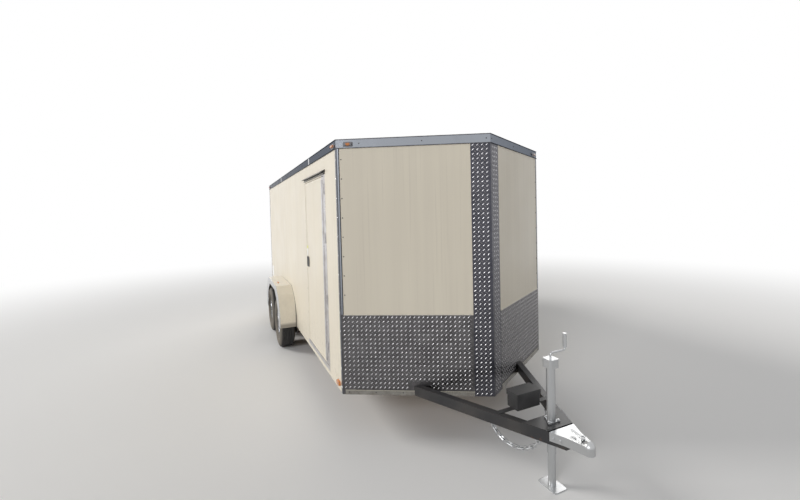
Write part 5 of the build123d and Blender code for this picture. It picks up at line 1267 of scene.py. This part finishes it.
class TRAILER_OT_lamp_bases(bpy.types.Operator):
    """Set a base under each marker lamp and a ring round each tail lamp"""

    bl_idname = "trailer.lamp_bases"
    bl_label = "Lamp bases"

    def execute(self, context):
        length, height, border, gauge = 0.066, 0.024, 0.008, 0.003
        loop = rounded_loop(length + 2 * border, height + 2 * border, height * 0.4, 6)
        plates, rings = [], []

        def add_base(centre, across, normal):
            """A plate under a lamp, a little smaller on top."""
            plates.append(slab(loop, centre, across, UP, normal, gauge, taper=0.96))

        front_y, rear_y, low_lamp_z = FRONT_Y + 0.09, REAR_Y - 0.09, 0.616
        for side in (-1, 1):
            corner, along, normal, axes = nose_frame(side)
            add_base(corner + along * NOSE_LAMP_ALONG + normal * SHEET + UP * LAMP_Z, axes[0], normal)
            out = np.array((side, 0.0, 0.0))
            across = frames_for(out)[0][0]
            add_base((side * (HALF_WIDTH + SHEET), front_y, LAMP_Z), across, out)
            add_base((side * (HALF_WIDTH + SHEET), rear_y, LAMP_Z), across, out)
            add_base((side * HALF_WIDTH, rear_y, low_lamp_z), across, out)
        for x in (-0.977, -0.2, 0.0, 0.2, 0.977):
            add_base((x, REAR_Y + SHEET, LAMP_Z), (-1, 0, 0), BACK)
        add_piece("marker_lamp_bases", joined(plates), "lamp_base", "trailer", 40)

        tail_width, tail_height, tail_inset, tail_z = 0.056, 0.165, 0.038, 0.820
        ring_gap, ring_corner, ring_reach, ring_radius = 0.008, 0.0319, 0.006, 0.005
        loop = rounded_loop(tail_width + ring_gap, tail_height + ring_gap, ring_corner, 14)
        for side in (-1, 1):
            centre = (side * (HALF_WIDTH - tail_inset), REAR_Y + ring_reach, tail_z)
            path = in_plane(loop, centre, (-1, 0, 0), UP)
            rings.append(carried(ring_profile(ring_radius, 10), path, BACK, closed=True))
        add_piece("tail_lamp_rings", joined(rings), "seal_rubber", "trailer", 60)
        return {"FINISHED"}


class TRAILER_OT_labels(bpy.types.Operator):
    """Put on the blank label, the lock's tag and the splices of the top trim"""

    bl_idname = "trailer.labels"
    bl_label = "Labels and splices"

    def execute(self, context):
        across = frames_for(KERB)[0][0]
        leaf_x = -HALF_WIDTH - DOOR_EDGE
        tag_y, tag_half = (LOCK_LOW.y + LOCK_HIGH.y) / 2 + 0.02, 0.02
        tag_z = LOCK_HIGH.z + 0.012
        label_ys, tag_ys = (FRONT_Y + 4.58, FRONT_Y + 4.77), (tag_y - tag_half, tag_y + tag_half)
        tag_zs, end_zs = (tag_z, tag_z + 0.075), (tag_z + 0.078, tag_z + 0.108)
        # Name, finish, body, its face's x, its ends in y and in z, gauge and corner radius
        sheets = (
            ("blank_label", "white_vinyl", "trailer", -HALF_WIDTH, label_ys, (0.69, 0.885), 0.0006, 0.006),
            ("door_tag", "white_vinyl", "side_door", leaf_x, tag_ys, tag_zs, 0.0008, 0.004),
            ("door_tag_end", "yellow_vinyl", "side_door", leaf_x, tag_ys, end_zs, 0.0008, 0.004),
        )
        for name, finish, body, x, ys, zs, gauge, radius in sheets:
            loop = rounded_loop(ys[1] - ys[0], zs[1] - zs[0], radius, 4)
            shape = slab(loop, (x, sum(ys) / 2, sum(zs) / 2), across, UP, KERB, gauge)
            add_piece(name, shape, finish, body, 40)

        splices = []
        splice_width, splice_gauge = 0.045, 0.0012
        splice_low, splice_high = TRIM_BOTTOM + 0.0045, BODY_HIGH - 0.0065
        for side in (-1, 1):
            x = side * (HALF_WIDTH + SHEET)
            for y in (FRONT_Y + 1.06, FRONT_Y + 3.17):
                path = ((x, y, splice_low), (x, y, splice_high))
                splices.append(carried(flat_profile(splice_width, splice_gauge), path, (side, 0, 0)))
        add_piece("trim_splices", joined(splices), "bright_rim", "trailer", 40)
        return {"FINISHED"}


class TRAILER_OT_hitch_bolts(bpy.types.Operator):
    """Bolt the coupler and the jack to the tongue"""

    bl_idname = "trailer.hitch_bolts"
    bl_label = "Hitch bolts"

    def execute(self, context):
        bolt = hex_head(0.0095, 0.008)
        rail_half, cheek_gauge, bolt_z = 0.0255, 0.006, BODY_LOW + 0.048
        shapes = []
        for side in (-1, 1):
            normal = np.array((side * cos(TONGUE_ANGLE), -sin(TONGUE_ANGLE), 0.0))
            for y in (BALL_Y + 0.140, BALL_Y + 0.180):
                rail_middle = (y - TONGUE_APEX_Y) * tan(TONGUE_ANGLE)
                x = rail_middle + rail_half / cos(TONGUE_ANGLE) + cheek_gauge
                shapes.append(head_row(((side * x, y, bolt_z),), normal, bolt))
        jack_y, ring_radius, plate_z = BALL_Y + 0.285, 0.044, TONGUE_TOP + 0.008
        angles = radians(90) + np.arange(3) * 2 * pi / 3
        spots = np.stack((ring_radius * np.cos(angles), jack_y + ring_radius * np.sin(angles),
                          np.full(3, plate_z)), -1)
        shapes.append(head_row(spots, UP, bolt))
        add_piece("hitch_bolts", joined(shapes), "zinc_steel", "trailer", 40)
        return {"FINISHED"}


# The camera: its place in metres, with y counted from the front of the side walls, then its angles in degrees
CAMERA_PLACE = (-1.9129, -3.0332, 1.8154)
CAMERA_YAW = 24.793
CAMERA_PITCH = -1.647
CAMERA_ROLL = -1.419
CAMERA_SHIFT = -25 / 800


def camera_turn():
    """The camera's axes from its yaw, pitch and roll."""
    yaw, pitch, roll = (radians(value) for value in (CAMERA_YAW, CAMERA_PITCH, CAMERA_ROLL))
    ahead = Vector((sin(yaw) * cos(pitch), cos(yaw) * cos(pitch), sin(pitch)))
    level = Vector((cos(yaw), -sin(yaw), 0.0))
    above = level.cross(ahead)
    right = level * cos(roll) + above * sin(roll)
    upwards = above * cos(roll) - level * sin(roll)
    return Matrix((right, upwards, -ahead)).transposed()


def seen_directly(nodes):
    """1 for what the camera sees, also by gloss or through glass, and 0 for light that falls on things."""
    path = nodes.tree.nodes.new("ShaderNodeLightPath")
    seen = nodes.math("MAXIMUM", path.outputs["Is Camera Ray"], path.outputs["Is Glossy Ray"])
    return nodes.math("MAXIMUM", seen, path.outputs["Is Transmission Ray"])


def fade_to_white(nodes):
    """Let the floor pass into the white background some way behind the trailer, where it is seen."""
    x, y, _ = nodes.axes()
    distance = nodes.math("SQRT", nodes.math("ADD", nodes.product(x, x), nodes.product(y, y)))
    white = nodes.tree.nodes.new("ShaderNodeEmission")
    blend = nodes.tree.nodes.new("ShaderNodeMixShader")
    output = next(node for node in nodes.tree.nodes if node.type == "OUTPUT_MATERIAL")
    nodes.feed(blend.inputs[0], nodes.product(nodes.ramp(distance, 4.5, 13.0), seen_directly(nodes)))
    nodes.feed(blend.inputs[1], nodes.shader.outputs[0])
    nodes.feed(blend.inputs[2], white.outputs[0])
    nodes.feed(output.inputs["Surface"], blend.outputs[0])


class TRAILER_OT_stage(bpy.types.Operator):
    """Lay the floor, set the light and place the camera"""

    bl_idname = "trailer.stage"
    bl_label = "Stage"

    def execute(self, context):
        scene = context.scene
        stage = scene.trailer_stage
        nodes = Nodes("studio_floor")
        soft = nodes.ramp(nodes.noise(0.6, detail=2.0), 0.3, 0.7, 0.96, 1.0)
        tone = nodes.mix(soft, shade(stage.floor_colour, 0.9), stage.floor_colour)
        nodes.set(Base_Color=tone, Roughness=0.85)
        fade_to_white(nodes)
        size = 60.0
        corners = [(-size, -size, 0), (size, -size, 0), (size, size, 0), (-size, size, 0)]
        floor = bpy.data.meshes.new("studio_floor")
        floor.from_pydata(corners, [], [(0, 1, 2, 3)])
        floor.materials.append(nodes.material)
        floor_object = bpy.data.objects.new("studio_floor", floor)
        scene.collection.objects.link(floor_object)

        scene.world = scene.world or bpy.data.worlds.new("studio")
        sky = Nodes("studio", scene.world)
        strength = sky.ramp(seen_directly(sky), 0.0, 1.0, stage.sky_strength, 1.0)
        sky.set(Color=(1.0, 1.0, 1.0), Strength=strength)

        key = stage.key_strength
        lamps = (
            ("key_light", key, (-0.70, 0.52, 0.50), 18.0, (1.0, 0.975, 0.93)),
            ("front_light", key * 0.72, (-0.80, -0.50, 0.42), 24.0, (0.98, 0.985, 1.0)),
            ("back_light", key * 0.55, (0.62, 0.85, 0.50), 40.0, (1.0, 0.985, 0.96)),
        )
        for name, power, direction, softness, colour in lamps:
            light = bpy.data.lights.new(name, "SUN")
            light.energy = power
            light.angle = radians(softness)
            light.color = colour
            lamp = bpy.data.objects.new(name, light)
            lamp.rotation_mode = "QUATERNION"
            lamp.rotation_quaternion = Vector(direction).to_track_quat("Z", "Y")
            scene.collection.objects.link(lamp)

        camera = bpy.data.cameras.new("camera")
        camera.sensor_width = 36.0
        camera.lens = stage.lens_length
        camera.shift_y = CAMERA_SHIFT
        camera.clip_end = 300.0
        view = bpy.data.objects.new("camera", camera)
        place = Vector(CAMERA_PLACE) + Vector((0.0, FRONT_Y, 0.0))
        view.matrix_world = Matrix.Translation(place) @ camera_turn().to_4x4()
        scene.collection.objects.link(view)
        scene.camera = view
        scene.view_settings.view_transform = "Standard"
        return {"FINISHED"}


class TRAILER_PT_looks(bpy.types.Panel):
    """The trailer's looks, in the order in which they are built"""

    bl_label = "Trailer"
    bl_idname = "TRAILER_PT_looks"
    bl_space_type = "VIEW_3D"
    bl_region_type = "UI"
    bl_category = "Trailer"

    def draw(self, context):
        for group in (context.scene.trailer_sizes, context.scene.trailer_finish, context.scene.trailer_stage):
            column = self.layout.column()
            for name in group.bl_rna.properties.keys():
                if name not in ("rna_type", "name"):
                    column.prop(group, name)
        for operator in OPERATORS:
            self.layout.operator(operator.bl_idname)


GROUPS = (TrailerSizes, TrailerFinish, TrailerStage)
OPERATORS = (
    TRAILER_OT_paint,
    TRAILER_OT_tread_plate,
    TRAILER_OT_fasteners,
    TRAILER_OT_door_fittings,
    TRAILER_OT_ramp_fittings,
    TRAILER_OT_tyres,
    TRAILER_OT_running_gear,
    TRAILER_OT_lamp_bases,
    TRAILER_OT_labels,
    TRAILER_OT_hitch_bolts,
    TRAILER_OT_stage,
)


def register():
    """Register the classes and hang the settings on the scene."""
    for entry in (*GROUPS, *OPERATORS, TRAILER_PT_looks):
        bpy.utils.register_class(entry)
    bpy.types.Scene.trailer_sizes = PointerProperty(type=TrailerSizes)
    bpy.types.Scene.trailer_finish = PointerProperty(type=TrailerFinish)
    bpy.types.Scene.trailer_stage = PointerProperty(type=TrailerStage)


def unregister():
    """Take the settings and the classes away again."""
    del bpy.types.Scene.trailer_stage
    del bpy.types.Scene.trailer_finish
    del bpy.types.Scene.trailer_sizes
    for entry in reversed((*GROUPS, *OPERATORS, TRAILER_PT_looks)):
        bpy.utils.unregister_class(entry)


def main():
    """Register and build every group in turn."""
    register()
    for operator in OPERATORS:
        group, name = operator.bl_idname.split(".")
        getattr(getattr(bpy.ops, group), name)()


if __name__ == "__main__":
    main()
